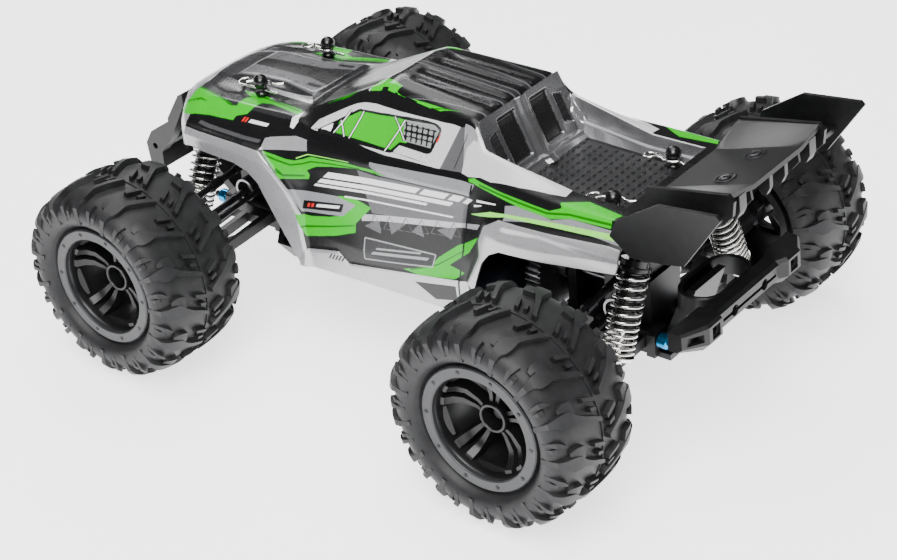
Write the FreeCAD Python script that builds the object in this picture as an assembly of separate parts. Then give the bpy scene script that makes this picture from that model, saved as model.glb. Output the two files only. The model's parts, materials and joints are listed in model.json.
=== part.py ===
"""Radio-controlled four-wheel-drive monster truck, about 1:16, as separate sub-parts.

Frame: +X forward, +Y to the truck's left, +Z up, millimetres. The origin lies on the ground
under the middle of the truck's bounding box. Every left-hand piece is made at +Y and mirrored.
"""
import FreeCAD
import Part
import math
import os

V = FreeCAD.Vector
OUT = "parts"
os.makedirs(OUT, exist_ok=True)

# ---- driving dimensions -------------------------------------------------------------------
FRONT_AXLE_X = 106.0
REAR_AXLE_X = -90.0
AXLE_X = {"f": FRONT_AXLE_X, "r": REAR_AXLE_X}
WHEEL_Z = 44.0

TYRE_R = 44.0
TREAD_R = 41.2
TYRE_OUT_Y = 112.5
TYRE_IN_Y = 66.5
BEAD_R = 24.0
RIM_OPEN_R = 21.4
BEADLOCK_R = 26.2
BEADLOCK_Y = 107.2
LUGS = 16

# suspension, seen along X: the arm, the camber link and the tie rod are equal and parallel
ARM_IN = (14.0, 37.0)
ARM_OUT = (60.0, 33.0)
LINK_IN = (14.0, 61.0)
LINK_OUT = (60.0, 57.0)
DRIVE_IN = (17.0, 48.0)
DRIVE_OUT = (63.0, 44.0)
TIE_IN = (17.0, 55.0)
TIE_OUT = (63.0, 51.0)
STEER_ARM = 14.0

# shock absorber: where its two eyes sit, and how far it stands from the axle along X
SHOCK = {"f": {"dx": 9.2, "top": (23.5, 84.0), "low": (44.0, 40.2)},
         "r": {"dx": -16.0, "top": (26.0, 84.0), "low": (45.5, 38.5)}}
SPRING_R = 6.2
WIRE_R = 0.55
SPRING_TURNS = 9
SHOCK_BODY_R = 4.7
ROD_R = 1.3

# driveline
SHAFT_Z = DRIVE_IN[1]
CUP_R = 5.2
CUP_BORE_R = 4.2
SPUR_TEETH = 45
PINION_TEETH = 15
MODULE = 0.8
BEVEL_TEETH = 10
CROWN_TEETH = 30
CROWN_R = 8.6
PINION_TIP = 3.4
SPUR_X = (-52.0, -46.0)
GEAR_CENTRES = MODULE * (SPUR_TEETH + PINION_TEETH) / 2
MOTOR_TILT = math.radians(5)
MOTOR_R = 12.2

# chassis and body
PLATE_Z = 29.0
PLATE_T = 2.6
SHELL_T = 1.2
POST_X = {"f": 86.0, "r": -92.0}
POST_Y = {"f": 21.8, "r": 21.0}
POST_TOP = {"f": 107.0, "r": 99.7}
SHELF_Z = 74.0
BALL_R = 2.6
POST_R = 2.1


# ---- helpers ------------------------------------------------------------------------------
def box(x0, x1, y0, y1, z0, z1):
    return Part.makeBox(x1 - x0, y1 - y0, z1 - z0, V(x0, y0, z0))


def cyl(x, y, z, r, length, axis="y"):
    """Cylinder that starts at (x, y, z) and runs towards + along the axis."""
    d = {"x": V(1, 0, 0), "y": V(0, 1, 0), "z": V(0, 0, 1)}[axis]
    return Part.makeCylinder(r, length, V(x, y, z), d)


def tube(x, y, z, r_out, r_in, length, axis="y"):
    return cyl(x, y, z, r_out, length, axis).cut(cyl(x, y, z, r_in, length, axis))


def rod(a, b, r):
    """Round bar from point a to point b."""
    a, b = V(*a), V(*b)
    return Part.makeCylinder(r, (b - a).Length, a, b - a)


def prism(points, axis, lo, hi):
    """Polygon extruded along an axis. Its points are given in the other two, in X, Y, Z order."""
    place = {"x": lambda p: V(lo, p[0], p[1]), "y": lambda p: V(p[0], lo, p[1]),
             "z": lambda p: V(p[0], p[1], lo)}[axis]
    along = {"x": V(hi - lo, 0, 0), "y": V(0, hi - lo, 0), "z": V(0, 0, hi - lo)}[axis]
    wire = Part.makePolygon([place(p) for p in points] + [place(points[0])])
    return Part.Face(wire).extrude(along)


def fuse(shapes):
    return shapes[0].multiFuse(shapes[1:]).removeSplitter()


def moved(shape, x=0, y=0, z=0):
    copy = shape.copy()
    copy.translate(V(x, y, z))
    return copy


def mirrored(shape):
    return shape.mirror(V(0, 0, 0), V(0, 1, 0))


def both_sides(shape):
    return [shape, mirrored(shape)]


def revolve_y(profile, x, z):
    """Solid of revolution about the line parallel to Y at (x, z). Profile points are (radius, y)."""
    wire = Part.makePolygon([V(x + r, y, z) for r, y in profile + profile[:1]])
    return Part.Face(wire).revolve(V(x, 0, z), V(0, 1, 0), 360)


def mirror_profile(half, mid):
    """Closed (radius, y) profile from its outer half, mirrored about y = mid."""
    return [(r, mid + d) for r, d in half] + [(r, mid - d) for r, d in reversed(half)]


def save(name, shapes):
    """Writes one sub-part, made of one or more closed solids, to its STEP file."""
    shapes = shapes if isinstance(shapes, list) else [shapes]
    solids = [s for shape in shapes for s in shape.Solids]
    Part.makeCompound(solids).exportStep(os.path.join(OUT, name + ".step"))


def save_pair(name, shapes, end=""):
    """Writes the left-hand piece and its mirror image as NAME_fl and NAME_fr, or NAME_l and NAME_r."""
    shapes = shapes if isinstance(shapes, list) else [shapes]
    save(f"{name}_{end}l", shapes)
    save(f"{name}_{end}r", [mirrored(s) for s in shapes])


# ---- wheels -------------------------------------------------------------------------------
def tyre():
    """Tyre about the axle at x 0: round carcass, chunky paired lugs and a centre rib."""
    mid = (TYRE_IN_Y + TYRE_OUT_Y) / 2
    half = (TYRE_OUT_Y - TYRE_IN_Y) / 2
    half_outline = [(BEAD_R + 0.1, 16.9), (BEAD_R + 2.9, 17.5), (28.5, half - 1.5), (33.5, half),
                    (38.5, half - 2.8), (TREAD_R - 0.4, 13.0), (TREAD_R, 5.0)]
    half_cavity = [(BEAD_R - 1.0, 13.5), (29.0, 18.0), (33.5, 20.2), (37.0, 18.0), (38.4, 13.0)]
    carcass = revolve_y(mirror_profile(half_outline, mid), 0, WHEEL_Z)
    carcass = carcass.cut(revolve_y(mirror_profile(half_cavity, mid), 0, WHEEL_Z))
    round_face = cyl(0, TYRE_IN_Y - 1, WHEEL_Z, TYRE_R, 50)
    lugs = []
    for side in (1, -1):
        for i in range(LUGS):
            bar = [(-3.4, 1.5), (2.2, 1.5), (6.4, 19.5), (0.8, 19.5)]
            bar = [(x, mid + side * y) for x, y in bar]
            lug = prism(bar, "z", WHEEL_Z + 39.2, WHEEL_Z + 46).common(round_face)
            corner = [(mid + side * y, WHEEL_Z + z) for y, z in ((12, 44.5), (25, 38.5), (25, 50), (12, 50))]
            shoulder = prism(corner, "x", -10, 10)
            lug = lug.cut(shoulder)
            turn = (i + (0.5 if side < 0 else 0)) * 360 / LUGS
            lug.rotate(V(0, 0, WHEEL_Z), V(0, 1, 0), turn)
            lugs.append(lug)
    return carcass.multiFuse(lugs)


def hexagon(r):
    """Corners of a hexagon about the wheel's axis, as (x, z)."""
    turns = [math.radians(60 * k) for k in range(6)]
    return [(r * math.sin(a), WHEEL_Z + r * math.cos(a)) for a in turns]


def rim():
    """Dished rim with ten spokes in five pairs, its bead-lock ring with ten screws, and the wheel nut."""
    barrel = revolve_y([(22.2, 69.5), (BEAD_R + 1.6, 69.5), (BEAD_R + 1.6, 71.2), (BEAD_R, 72.2),
                        (BEAD_R, 105.5), (BEAD_R - 0.4, BEADLOCK_Y), (RIM_OPEN_R, BEADLOCK_Y),
                        (22.2, 104)], 0, WHEEL_Z)
    hub = tube(0, 84, WHEEL_Z, 7.0, 2.7, 8)
    cap = tube(0, 92, WHEEL_Z, 6.3, 4.6, 8.6)
    spokes = []
    for pair in range(5):
        for lean in (-11, 11):
            spoke = prism([(91.0, 5.6), (98.0, 5.6), (102.5, 22.6), (97.0, 22.6)], "x", -1.5, 1.5)
            spoke.translate(V(0, 0, WHEEL_Z))
            spoke.rotate(V(0, 0, WHEEL_Z), V(0, 1, 0), pair * 72 + lean)
            spokes.append(spoke)
    wheel = barrel.multiFuse([hub, cap] + spokes)
    ring = tube(0, BEADLOCK_Y + 0.02, WHEEL_Z, BEADLOCK_R, RIM_OPEN_R, 2.2)
    screws = []
    for i in range(10):
        a = math.radians(36 * i + 18)
        x, z = 23.8 * math.sin(a), WHEEL_Z + 23.8 * math.cos(a)
        ring = ring.cut(cyl(x, BEADLOCK_Y, z, 0.82, 3))
        screws.append(cyl(x, BEADLOCK_Y + 0.05, z, 0.8, 2.0))
    nut = prism(hexagon(3.6), "y", 92.1, 95.6).cut(cyl(0, 90, WHEEL_Z, 2.05, 10))
    return [wheel, ring] + screws + [nut]


def stub_axle():
    """Stub axle with the drive cup inboard, the drive hexagon and the thread that carries the nut."""
    y = DRIVE_OUT[0]
    cup = cyl(0, y - 3.4, WHEEL_Z, CUP_R, 9.2).cut(cyl(0, y - 3.5, WHEEL_Z, CUP_BORE_R, 8.1))
    shaft = cyl(0, y + 5.5, WHEEL_Z, 2.5, 23.5)
    thread = cyl(0, 92, WHEEL_Z, 2.0, 4.8)
    drive = prism(hexagon(6.9), "y", 78.8, 83.9)
    return fuse([cup, shaft, thread, drive])


# ---- suspension ---------------------------------------------------------------------------
def slope():
    return math.degrees(math.atan2(ARM_IN[1] - ARM_OUT[1], ARM_OUT[0] - ARM_IN[0]))


def lower_arm(end):
    """Wishbone: pivot barrel inboard, fork outboard, open truss between, and the shock's lower pin."""
    length = math.hypot(ARM_OUT[0] - ARM_IN[0], ARM_OUT[1] - ARM_IN[1])
    y0, z0 = ARM_IN
    tip = y0 + length - 1
    outline = [(-12, y0), (12, y0), (12, y0 + 8), (10, tip), (-10, tip), (-12, y0 + 8)]
    plate = prism(outline, "z", z0 - 3.0, z0 + 1.8)
    for x0, x1 in ((-8.6, -1.3), (1.3, 8.6)):
        window = [(x0, y0 + 8), (x1, y0 + 8), (x1, y0 + 24), ((x0 + x1) / 2, y0 + 31), (x0, y0 + 24)]
        plate = plate.cut(prism(window, "z", z0 - 5, z0 + 5))
    plate = plate.cut(box(-6.95, 6.95, y0 + length - 8.5, y0 + length + 4, z0 - 5, z0 + 5))
    plate = fuse([plate, cyl(-12, y0, z0, 3.0, 24, "x"), cyl(-10, y0 + length, z0, 2.7, 20, "x")])
    plate = plate.cut(cyl(-6.95, y0 + length, z0, 4.2, 13.9, "x"))
    plate = plate.cut(cyl(-20, y0, z0, 1.35, 40, "x")).fuse(cyl(-10, y0 + length, z0, 1.04, 20, "x"))
    plate.rotate(V(0, y0, z0), V(1, 0, 0), -slope())
    return fuse([plate] + shock_pin(end))


def shock_pin(end):
    """Pin for the shock's lower eye: between two ears in front, on a side boss with a screw head behind."""
    (y, z), dx = SHOCK[end]["low"], SHOCK[end]["dx"]
    if dx > 0:
        ear = [(y - 3.6, z - 6.0), (y + 3.6, z - 6.0), (y + 2.2, z + 2.2), (y - 2.2, z + 2.2)]
        ears = [prism(ear, "x", x, x + 1.5) for x in (dx - 3.9, dx + 2.4)]
        return ears + [cyl(dx - 3.9, y, z, 1.0, 7.8, "x")]
    side = [(y - 4.2, z - 6.0), (y + 4.2, z - 6.0), (y + 3.0, z + 2.4), (y - 3.0, z + 2.4)]
    boss = prism(side, "x", dx + 2.5, -6.97)
    return [boss, cyl(dx - 4.0, y, z, 1.0, 7.0, "x"), cyl(dx - 4.0, y, z, 2.4, 1.5, "x")]


def camber_link():
    """Turnbuckle between the gearbox and the hub carrier, with an eye at each end."""
    (y0, z0), (y1, z1) = LINK_IN, LINK_OUT
    eyes = [cyl(-2, y, z, 2.6, 4, "x") for y, z in (LINK_IN, LINK_OUT)]
    length = math.hypot(y1 - y0, z1 - z0)

    def at(s):
        """Point on the link's line, s from its inner eye."""
        return (0, y0 + (y1 - y0) * s / length, z0 + (z1 - z0) * s / length)
    bar = rod(at(1.6), at(length - 1.6), 1.5)
    middle = rod(at(20), at(26), 2.2)
    ends = [rod(at(2.3), at(11), 1.9), rod(at(length - 11), at(length - 2.3), 1.9)]
    body = fuse([bar, middle] + ends + eyes)
    for y, z in (LINK_IN, LINK_OUT):
        body = body.cut(cyl(-3, y, z, 1.25, 6, "x"))
    return body


def link_clevis(y, z, base_z):
    """Two ears and a pin, in which a camber link's eye turns."""
    ear = [(y - 2.6, base_z), (y + 2.6, base_z), (y + 2.2, z + 2.2), (y - 2.2, z + 2.2)]
    ears = [prism(ear, "x", x0, x0 + 1.6) for x0 in (-4.1, 2.5)]
    return ears + [cyl(-4.1, y, z, 1.15, 8.2, "x")]


def outer_lug():
    """The part of a hub carrier that turns between the arm's fork ears."""
    y, z = ARM_OUT
    neck = prism([(y - 2.5, z), (y + 2.5, z), (y + 2.5, z + 4), (y - 3.4, z + 4)], "x", -6.7, 6.7)
    return fuse([cyl(-6.7, y, z, 2.6, 13.4, "x"), neck])


def caster_block():
    """C-shaped front carrier: web with a hole for the drive shaft, two ears with kingpins, link clevis."""
    web = box(-6.7, 6.7, 54.4, 57.0, 34.4, 53.6).cut(cyl(0, 50, WHEEL_Z, 5.9, 12))
    ears = []
    for z0, z1 in ((34.6, 36.6), (51.4, 53.6)):
        ears += [box(-4.2, 4.2, 56, DRIVE_OUT[0], z0, z1), cyl(0, DRIVE_OUT[0], z0, 4.2, z1 - z0, "z")]
    pins = [cyl(0, DRIVE_OUT[0], 36.0, 1.3, 2.6, "z"), cyl(0, DRIVE_OUT[0], 49.6, 1.3, 2.6, "z")]
    clevis = link_clevis(LINK_OUT[0], LINK_OUT[1], 53.0)
    block = fuse([web, outer_lug()] + ears + pins + clevis)
    return block.cut(cyl(-8, ARM_OUT[0], ARM_OUT[1], 1.1, 16, "x"))


def knuckle():
    """Steering knuckle: bearing barrel round the stub axle, kingpin sockets and the steering arm."""
    y, z = DRIVE_OUT
    barrel = cyl(0, 59.6, WHEEL_Z, 6.9, 14.6)
    pads = box(-4.0, 4.0, 59.6, 66.6, 37.0, 51.0)
    arm = box(-16.4, -4.5, 60.8, 65.2, 46.4, 48.8)
    stud = cyl(-STEER_ARM, TIE_OUT[0], 48.6, 1.1, 4.6, "z")
    head = cyl(-STEER_ARM, TIE_OUT[0], 53.2, 2.0, 1.0, "z")
    body = fuse([barrel, pads, arm, stud, head])
    body = body.cut(cyl(0, 59, WHEEL_Z, 5.8, 10.2)).cut(cyl(0, 60, WHEEL_Z, 2.58, 16))
    body = body.cut(box(-7.5, 7.5, 50, 59.9, 30, 60))
    for z0 in (36.5, 48.9):
        body = body.cut(cyl(0, y, z0, 1.35, 3.0, "z"))
    return body


def rear_carrier():
    """Rear hub carrier: bearing barrel, lug for the arm's outer pin, and the link clevis."""
    barrel = cyl(0, 59.6, WHEEL_Z, 6.9, 14.6)
    web = box(-6.7, 6.7, 56.6, 59.8, 34.4, 53.6)
    roof = box(-6.7, 6.7, 57, 64, 50.2, 53.6)
    clevis = link_clevis(LINK_OUT[0], LINK_OUT[1], 53.0)
    body = fuse([barrel, web, roof, outer_lug()] + clevis)
    body = body.cut(cyl(0, 50, WHEEL_Z, 5.8, 19.2)).cut(cyl(0, 60, WHEEL_Z, 2.58, 16))
    return body.cut(cyl(-8, ARM_OUT[0], ARM_OUT[1], 1.1, 16, "x"))


def drive_shaft():
    """Dog-bone: a plain shaft with a ball at each end, one in each drive cup."""
    a, b = (0,) + DRIVE_IN, (0,) + DRIVE_OUT
    balls = [Part.makeSphere(2.3, V(*p)) for p in (a, b)]
    return fuse([rod(a, b, 1.6)] + balls)


def shock_frame(end):
    """Unit direction from the shock's top eye to its lower eye, and the length between them."""
    (y0, z0), (y1, z1) = SHOCK[end]["top"], SHOCK[end]["low"]
    length = math.hypot(y1 - y0, z1 - z0)
    return V(0, (y1 - y0) / length, (z1 - z0) / length), length


def shock_body(end):
    """Damper cylinder with its top eye, cap and the collar that the spring bears on."""
    (y0, z0), d = SHOCK[end]["top"], shock_frame(end)[0]
    eye = V(0, y0, z0)

    def barrel(r, start, length):
        return Part.makeCylinder(r, length, eye + d * start, d)
    body = fuse([Part.makeCylinder(3.4, 5.2, eye - V(2.6, 0, 0), V(1, 0, 0)), barrel(2.6, 0, 5.0),
                 barrel(5.7, 4.2, 3.6), barrel(6.9, 7.0, 1.2), barrel(SHOCK_BODY_R, 8.0, 23.5)])
    body = body.cut(barrel(3.3, 6.5, 23.2)).cut(barrel(ROD_R + 0.15, 29, 6))
    body = body.cut(Part.makeCylinder(1.4, 8, eye - V(4, 0, 0), V(1, 0, 0)))
    return moved(body, x=SHOCK[end]["dx"])


def shock_rod(end):
    """Piston rod with piston, lower spring cup and lower eye."""
    (y0, z0), (d, length) = SHOCK[end]["top"], shock_frame(end)
    eye = V(-2.2, *SHOCK[end]["low"])
    cup = length - 7.5

    def barrel(r, start, size):
        return Part.makeCylinder(r, size, V(0, y0, z0) + d * start, d)
    body = fuse([barrel(ROD_R, 15.5, length - 17), barrel(3.0, 15.0, 1.8), barrel(6.9, cup, 1.2),
                 barrel(2.4, cup, 5.5), Part.makeCylinder(3.0, 4.4, eye, V(1, 0, 0))])
    body = body.cut(Part.makeCylinder(1.45, 6, eye - V(1, 0, 0), V(1, 0, 0)))
    return moved(body, x=SHOCK[end]["dx"])


def spring(end):
    """Coil spring between the shock's collar and its lower cup."""
    (y0, z0), (d, length) = SHOCK[end]["top"], shock_frame(end)
    start, stop = 8.2 + WIRE_R + 0.05, length - 7.5 - WIRE_R - 0.05
    helix = Part.makeHelix((stop - start) / SPRING_TURNS, stop - start, SPRING_R)
    section = Part.Wire(Part.makeCircle(WIRE_R, V(SPRING_R, 0, 0), V(0, 1, 0)))
    coil = Part.Wire(helix.Edges).makePipeShell([section], True, True)
    turn = FreeCAD.Rotation(V(0, 0, 1), d)
    coil.Placement = FreeCAD.Placement(V(SHOCK[end]["dx"], y0, z0) + d * start, turn)
    return coil


# ---- steering -----------------------------------------------------------------------------
def steering_rack():
    """Cross link that slides sideways: slot for the servo's pin and a clevis for each tie rod."""
    x, z = -STEER_ARM, TIE_IN[1]
    bar = box(x - 2.4, x + 2.4, -12.6, 12.6, z - 1.6, z + 1.4)
    pad = box(x - 4.6, x + 2.4, 7.2, 14.8, z - 1.6, z + 1.4)
    slot = fuse([box(x - 2.4, x + 0.4, 9.6, 12.4, z - 4, z + 4), cyl(x - 2.4, 11, z - 4, 1.4, 8, "z"),
                 cyl(x + 0.4, 11, z - 4, 1.4, 8, "z")])
    ears = []
    for s in (1, -1):
        for x0 in (x - 2.9, x + 1.7):
            ears.append(box(x0, x0 + 1.2, *sorted((s * 11.6, s * 19.4)), z - 1.9, z + 1.9))
        ears.append(cyl(x - 2.9, s * TIE_IN[0], z, 0.9, 5.8, "x"))
        ears.append(box(x - 2.9, x + 2.9, *sorted((s * 11.0, s * 13.0)), z - 1.9, z + 1.4))
    return moved(fuse([bar, pad] + ears).cut(slot), x=FRONT_AXLE_X)


def tie_rod():
    """Steering rod: eye on the rack's pin inboard, loose ring round the knuckle's stud outboard."""
    x = -STEER_ARM
    (y0, z0), (y1, z1) = TIE_IN, TIE_OUT
    eye = cyl(x - 1.5, y0, z0, 1.7, 3.0, "x")
    ring = cyl(x, y1, z1 - 1.2, 3.9, 2.4, "z")
    bar = rod((x, y0, z0), (x, y1 - 3.2, z0 + (y1 - 3.2 - y0) * (z1 - z0) / (y1 - y0)), 1.15)
    body = fuse([eye, ring, bar])
    body = body.cut(cyl(x - 3, y0, z0, 1.0, 6, "x")).cut(cyl(x, y1, z1 - 4, 2.5, 8, "z"))
    return moved(body, x=FRONT_AXLE_X)


SERVO_AXIS = (FRONT_AXLE_X - 2 * STEER_ARM, 11.0)
SERVO_POSTS_X = ((SERVO_AXIS[0] - 20.8, SERVO_AXIS[0] - 16.9), (SERVO_AXIS[0] + 6.9, SERVO_AXIS[0] + 10.6))


def servo():
    """Steering servo: case, two screw ears and the round boss with its output spline."""
    x, y = SERVO_AXIS
    case = box(x - 16.5, x + 6.5, y - 6.0, y + 6.0, 33.2, 52.0)
    ears = box(x - 21, x + 11, y - 6.0, y + 6.0, 46.0, 48.0)
    for dx in (-18.8, 8.8):
        ears = ears.cut(cyl(x + dx, y, 45, 1.1, 4, "z"))
    return fuse([case, ears, cyl(x, y, 51.5, 5.6, 2.0, "z"), cyl(x, y, 53, 2.2, 4.4, "z")])


def servo_horn():
    """Arm on the servo's spline, with the pin that works in the rack's slot."""
    x, y = SERVO_AXIS
    tip = x + STEER_ARM + 1
    horn = prism([(x, y - 3.0), (tip, y - 1.9), (tip, y + 1.9), (x, y + 3.0)], "z", 58.0, 60.0)
    horn = fuse([horn, cyl(x, y, 55.6, 4.0, 4.4, "z"), cyl(x + STEER_ARM, y, 53.2, 1.15, 5.4, "z"),
                 cyl(tip, y, 58.0, 1.9, 2.0, "z")])
    return horn.cut(cyl(x, y, 50, 2.3, 7.6, "z"))


# ---- driveline ----------------------------------------------------------------------------
def involute_gear(teeth, module, width, x0, phase, backlash, bore):
    """Spur gear along X with involute flanks, centred on y 0, z 0. One tooth points to the phase angle."""
    pitch_r = module * teeth / 2
    base_r = pitch_r * math.cos(math.radians(20))
    tip_r = pitch_r + module * 0.95
    root_r = pitch_r - module * 1.25

    def inv(a):
        return math.tan(a) - a
    half = math.pi / (2 * teeth) - backlash / (2 * pitch_r)
    centre = inv(math.radians(20)) + half
    points = []
    steps = 5
    first = max(base_r, root_r)
    for i in range(teeth):
        axis = phase + 2 * math.pi * i / teeth
        flank = []
        for k in range(steps + 1):
            r = first + (tip_r - first) * k / steps
            flank.append((r, centre - inv(math.acos(min(1.0, base_r / r)))))
        if root_r < base_r:
            flank.insert(0, (root_r, flank[0][1]))
        points += [(r, axis - a) for r, a in flank] + [(r, axis + a) for r, a in reversed(flank)]
    outline = [(r * math.cos(a), r * math.sin(a)) for r, a in points]
    gear = prism(outline, "x", x0, x0 + width)
    return gear.cut(cyl(x0 - 1, 0, 0, bore, width + 2, "x")) if bore else gear


def bevel_pinion():
    """Bevel pinion along X with its big end at x 0, made for the crown gear's face."""
    cone = Part.makeCone(PINION_TIP - 0.9, PINION_TIP - 1.5, 2.0, V(0, 0, 0), V(1, 0, 0))
    ribs = []
    for i in range(BEVEL_TEETH):
        rib = prism([(0, 1.6), (0, PINION_TIP), (2.0, PINION_TIP - 0.7), (2.0, 1.2)], "y", -0.22, 0.22)
        rib.rotate(V(0, 0, 0), V(1, 0, 0), 360 * i / BEVEL_TEETH)
        ribs.append(rib)
    return cone.multiFuse(ribs)


def crown_gear():
    """Crown gear on the differential case: a disc whose teeth face the pinion."""
    disc = cyl(0, PINION_TIP + 0.2, SHAFT_Z, CROWN_R, 2.6)
    ribs = []
    for i in range(CROWN_TEETH):
        rib = box(6.7, CROWN_R, PINION_TIP - 0.55, PINION_TIP + 0.3, SHAFT_Z - 0.22, SHAFT_Z + 0.22)
        rib.rotate(V(0, 0, SHAFT_Z), V(0, 1, 0), 360 * i / CROWN_TEETH)
        ribs.append(rib)
    return disc.multiFuse(ribs)


def centre_shaft():
    """Propeller shaft with a bevel pinion at each end and the spur gear on it, turning as one."""
    x0, x1 = REAR_AXLE_X + CROWN_R, FRONT_AXLE_X - CROWN_R
    shaft = cyl(x0, 0, SHAFT_Z, 2.0, x1 - x0, "x")
    front = bevel_pinion()
    front.translate(V(x1, 0, SHAFT_Z))
    rear = bevel_pinion()
    rear.rotate(V(0, 0, 0), V(0, 0, 1), 180)
    rear.translate(V(x0, 0, SHAFT_Z))
    phase = MOTOR_TILT - math.pi
    spur = involute_gear(SPUR_TEETH, MODULE, SPUR_X[1] - SPUR_X[0], SPUR_X[0], phase, 0.12, 2.0)
    spur.translate(V(0, 0, SHAFT_Z))
    hub = tube(SPUR_X[0] - 4, 0, SHAFT_Z, 5, 2.0, 4, "x")
    spur = spur.fuse(hub)
    return [fuse([shaft, front, rear]), spur]


MOTOR_YZ = (-GEAR_CENTRES * math.cos(MOTOR_TILT), SHAFT_Z - GEAR_CENTRES * math.sin(MOTOR_TILT))


def motor():
    """Can motor with its front boss, its tail bearing and two terminals."""
    x = SPUR_X[1]
    y, z = MOTOR_YZ
    can = cyl(x + 3.5, y, z, MOTOR_R, 31, "x")
    boss = cyl(x + 2.0, y, z, 3.0, 2.0, "x")
    tail = cyl(x + 34.4, y, z, 4.0, 3.2, "x")
    tags = [box(x + 34, x + 39, y + s * 7 - 1, y + s * 7 + 1, z - 0.3, z + 0.3) for s in (-1, 1)]
    body = fuse([can, boss, tail] + tags)
    return body.cut(cyl(x, y, z, 1.06, 30, "x"))


def motor_pinion():
    """Motor shaft and its pinion, in mesh with the spur gear: a gap faces the spur's tooth."""
    y, z = MOTOR_YZ
    gear = involute_gear(PINION_TEETH, MODULE, SPUR_X[1] - SPUR_X[0] + 1, SPUR_X[0] - 0.5,
                         MOTOR_TILT + math.pi / PINION_TEETH, 0.12, 0)
    shaft = cyl(SPUR_X[0] - 1.5, 0, 0, 1.0, 36, "x")
    return moved(fuse([gear, shaft]), y=y, z=z)


def differential():
    """Differential case with its crown gear and the two output cups, turning about Y."""
    case = cyl(0, -7.5, SHAFT_Z, 6.2, 15)
    body = case.fuse(crown_gear())
    for s in (1, -1):
        neck = cyl(0, min(s * 7, s * 11.5), SHAFT_Z, 3.0, 4.5)
        cup = cyl(0, min(s * 10.9, s * 20.2), SHAFT_Z, CUP_R, 9.3)
        hollow = cyl(0, min(s * 11.9, s * 20.4), SHAFT_Z, CUP_BORE_R, 8.5)
        body = body.multiFuse([neck, cup]).cut(hollow)
    return body.removeSplitter()


def gearbox_housing(side):
    """Case round one differential. Side is the way along X in which the propeller shaft leaves."""
    case = box(-10.8, 10.8, -10.7, 10.7, 35.6, 59.4)
    case = case.cut(cyl(0, -9.4, SHAFT_Z, 9.4, 18.8)).cut(cyl(0, -12, SHAFT_Z, 3.08, 24))
    case = case.cut(cyl(min(0, side * 12), 0, SHAFT_Z, 2.08, 12, "x"))
    ears = link_clevis(LINK_IN[0], LINK_IN[1], 56.5)
    shelf = box(-4.6, 4.6, 10, 17.4, 55.0, 57.4)
    both = [m for part in ears + [shelf] for m in both_sides(part)]
    return fuse([case] + both)


def rack_guide():
    """C-shaped guide on the front gearbox case, in which the steering rack slides."""
    x = -STEER_ARM
    over = box(x - 3.3, -10.7, -4.4, 2.4, 56.5, 57.6)
    lip = box(x - 3.3, x - 2.5, -4.4, 0.8, 54.2, 57.6)
    under = box(x - 1.6, -10.7, -4.4, 2.4, 52.2, 53.3)
    return [over, lip, under]


# ---- chassis and its fittings -------------------------------------------------------------
TUB_X = (-58.0, 72.0)
TUB_Y = 38.0
TUB_FLOOR_Y = 29.0
TUB_RIM_Z = 40.0
NOSE_X = 124.0
TAIL_X = -112.0


def chassis():
    """Tub: flat floor that narrows at each end, sloping sides, and brackets for the arms' hinge pins."""
    def outline(inset, w, z):
        w, n = w - inset, 14.5 - inset
        half = [(NOSE_X - inset, n), (TUB_X[1] + 18, n), (TUB_X[1] - inset, w), (TUB_X[0] + inset, w),
                (TUB_X[0] - 14, n), (TAIL_X + inset, n)]
        ring = half + [(x, -y) for x, y in reversed(half)]
        return Part.makePolygon([V(x, y, z) for x, y in ring + ring[:1]])

    def hull(inset):
        low, high = outline(inset, TUB_FLOOR_Y, PLATE_Z), outline(inset, TUB_Y, TUB_RIM_Z)
        return Part.makeLoft([low, high], True, True)
    inner = hull(2.0).cut(box(TAIL_X, NOSE_X, -TUB_Y, TUB_Y, PLATE_Z - 1, PLATE_Z + PLATE_T))
    wall = hull(0).cut(inner)
    wall = wall.cut(box(88.4, NOSE_X + 1, -20, 20, PLATE_Z + PLATE_T, 50))
    wall = wall.cut(box(TAIL_X - 1, -72.4, -20, 20, PLATE_Z + PLATE_T, 50))
    ribs = [box(x, x + 1.6, 6.0, TUB_FLOOR_Y + 1, PLATE_Z + 2, 36.0) for x in (-43.4, 47.0)]
    profile = [(-7, PLATE_Z + 2), (-TUB_FLOOR_Y, PLATE_Z + 2), (-36.5, TUB_RIM_Z), (-36.5, 58), (-7, 58)]
    stand = prism(profile, "x", SPUR_X[1] + 0.6, SPUR_X[1] + 3.3)
    y, z = MOTOR_YZ
    stand = stand.cut(cyl(SPUR_X[1], y, z, 3.3, 6, "x")).cut(cyl(SPUR_X[1], 0, SHAFT_Z, 8.0, 6, "x"))
    plinths, blocks = [], []
    for axle in AXLE_X.values():
        plinths.append(box(axle - 10.8, axle + 10.8, -9.5, 9.5, PLATE_Z + 2, 35.5))
        for x0 in (-16.4, 12.4):
            for s in (1, -1):
                side = [(8, PLATE_Z + 0.5), (17, PLATE_Z + 0.5), (17, 39.4), (14.8, 40.6), (8, 40.6)]
                block = prism([(s * y, z) for y, z in side], "x", axle + x0, axle + x0 + 4)
                blocks.append(block.cut(cyl(axle + x0 - 1, s * ARM_IN[0], ARM_IN[1], 1.3, 6, "x")))
    posts = [box(x0, x1, 6, 16, PLATE_Z + 2, 45.9) for x0, x1 in SERVO_POSTS_X]
    for x0 in (-62, 24):
        bearing = box(x0, x0 + 4, -6, 6, PLATE_Z + 2, 54)
        posts.append(bearing.cut(cyl(x0 - 1, 0, SHAFT_Z, 2.15, 6, "x")))
    tub = fuse([wall, stand] + ribs + plinths + blocks + posts)
    spur_slot = box(SPUR_X[0] - 1.5, SPUR_X[1] + 0.5, -10.5, 10.5, PLATE_Z - 1, PLATE_Z + 4)
    return tub.cut(spur_slot).cut(box(*SWITCH_X, *SWITCH_Y, PLATE_Z - 1, PLATE_Z + 4))


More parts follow.
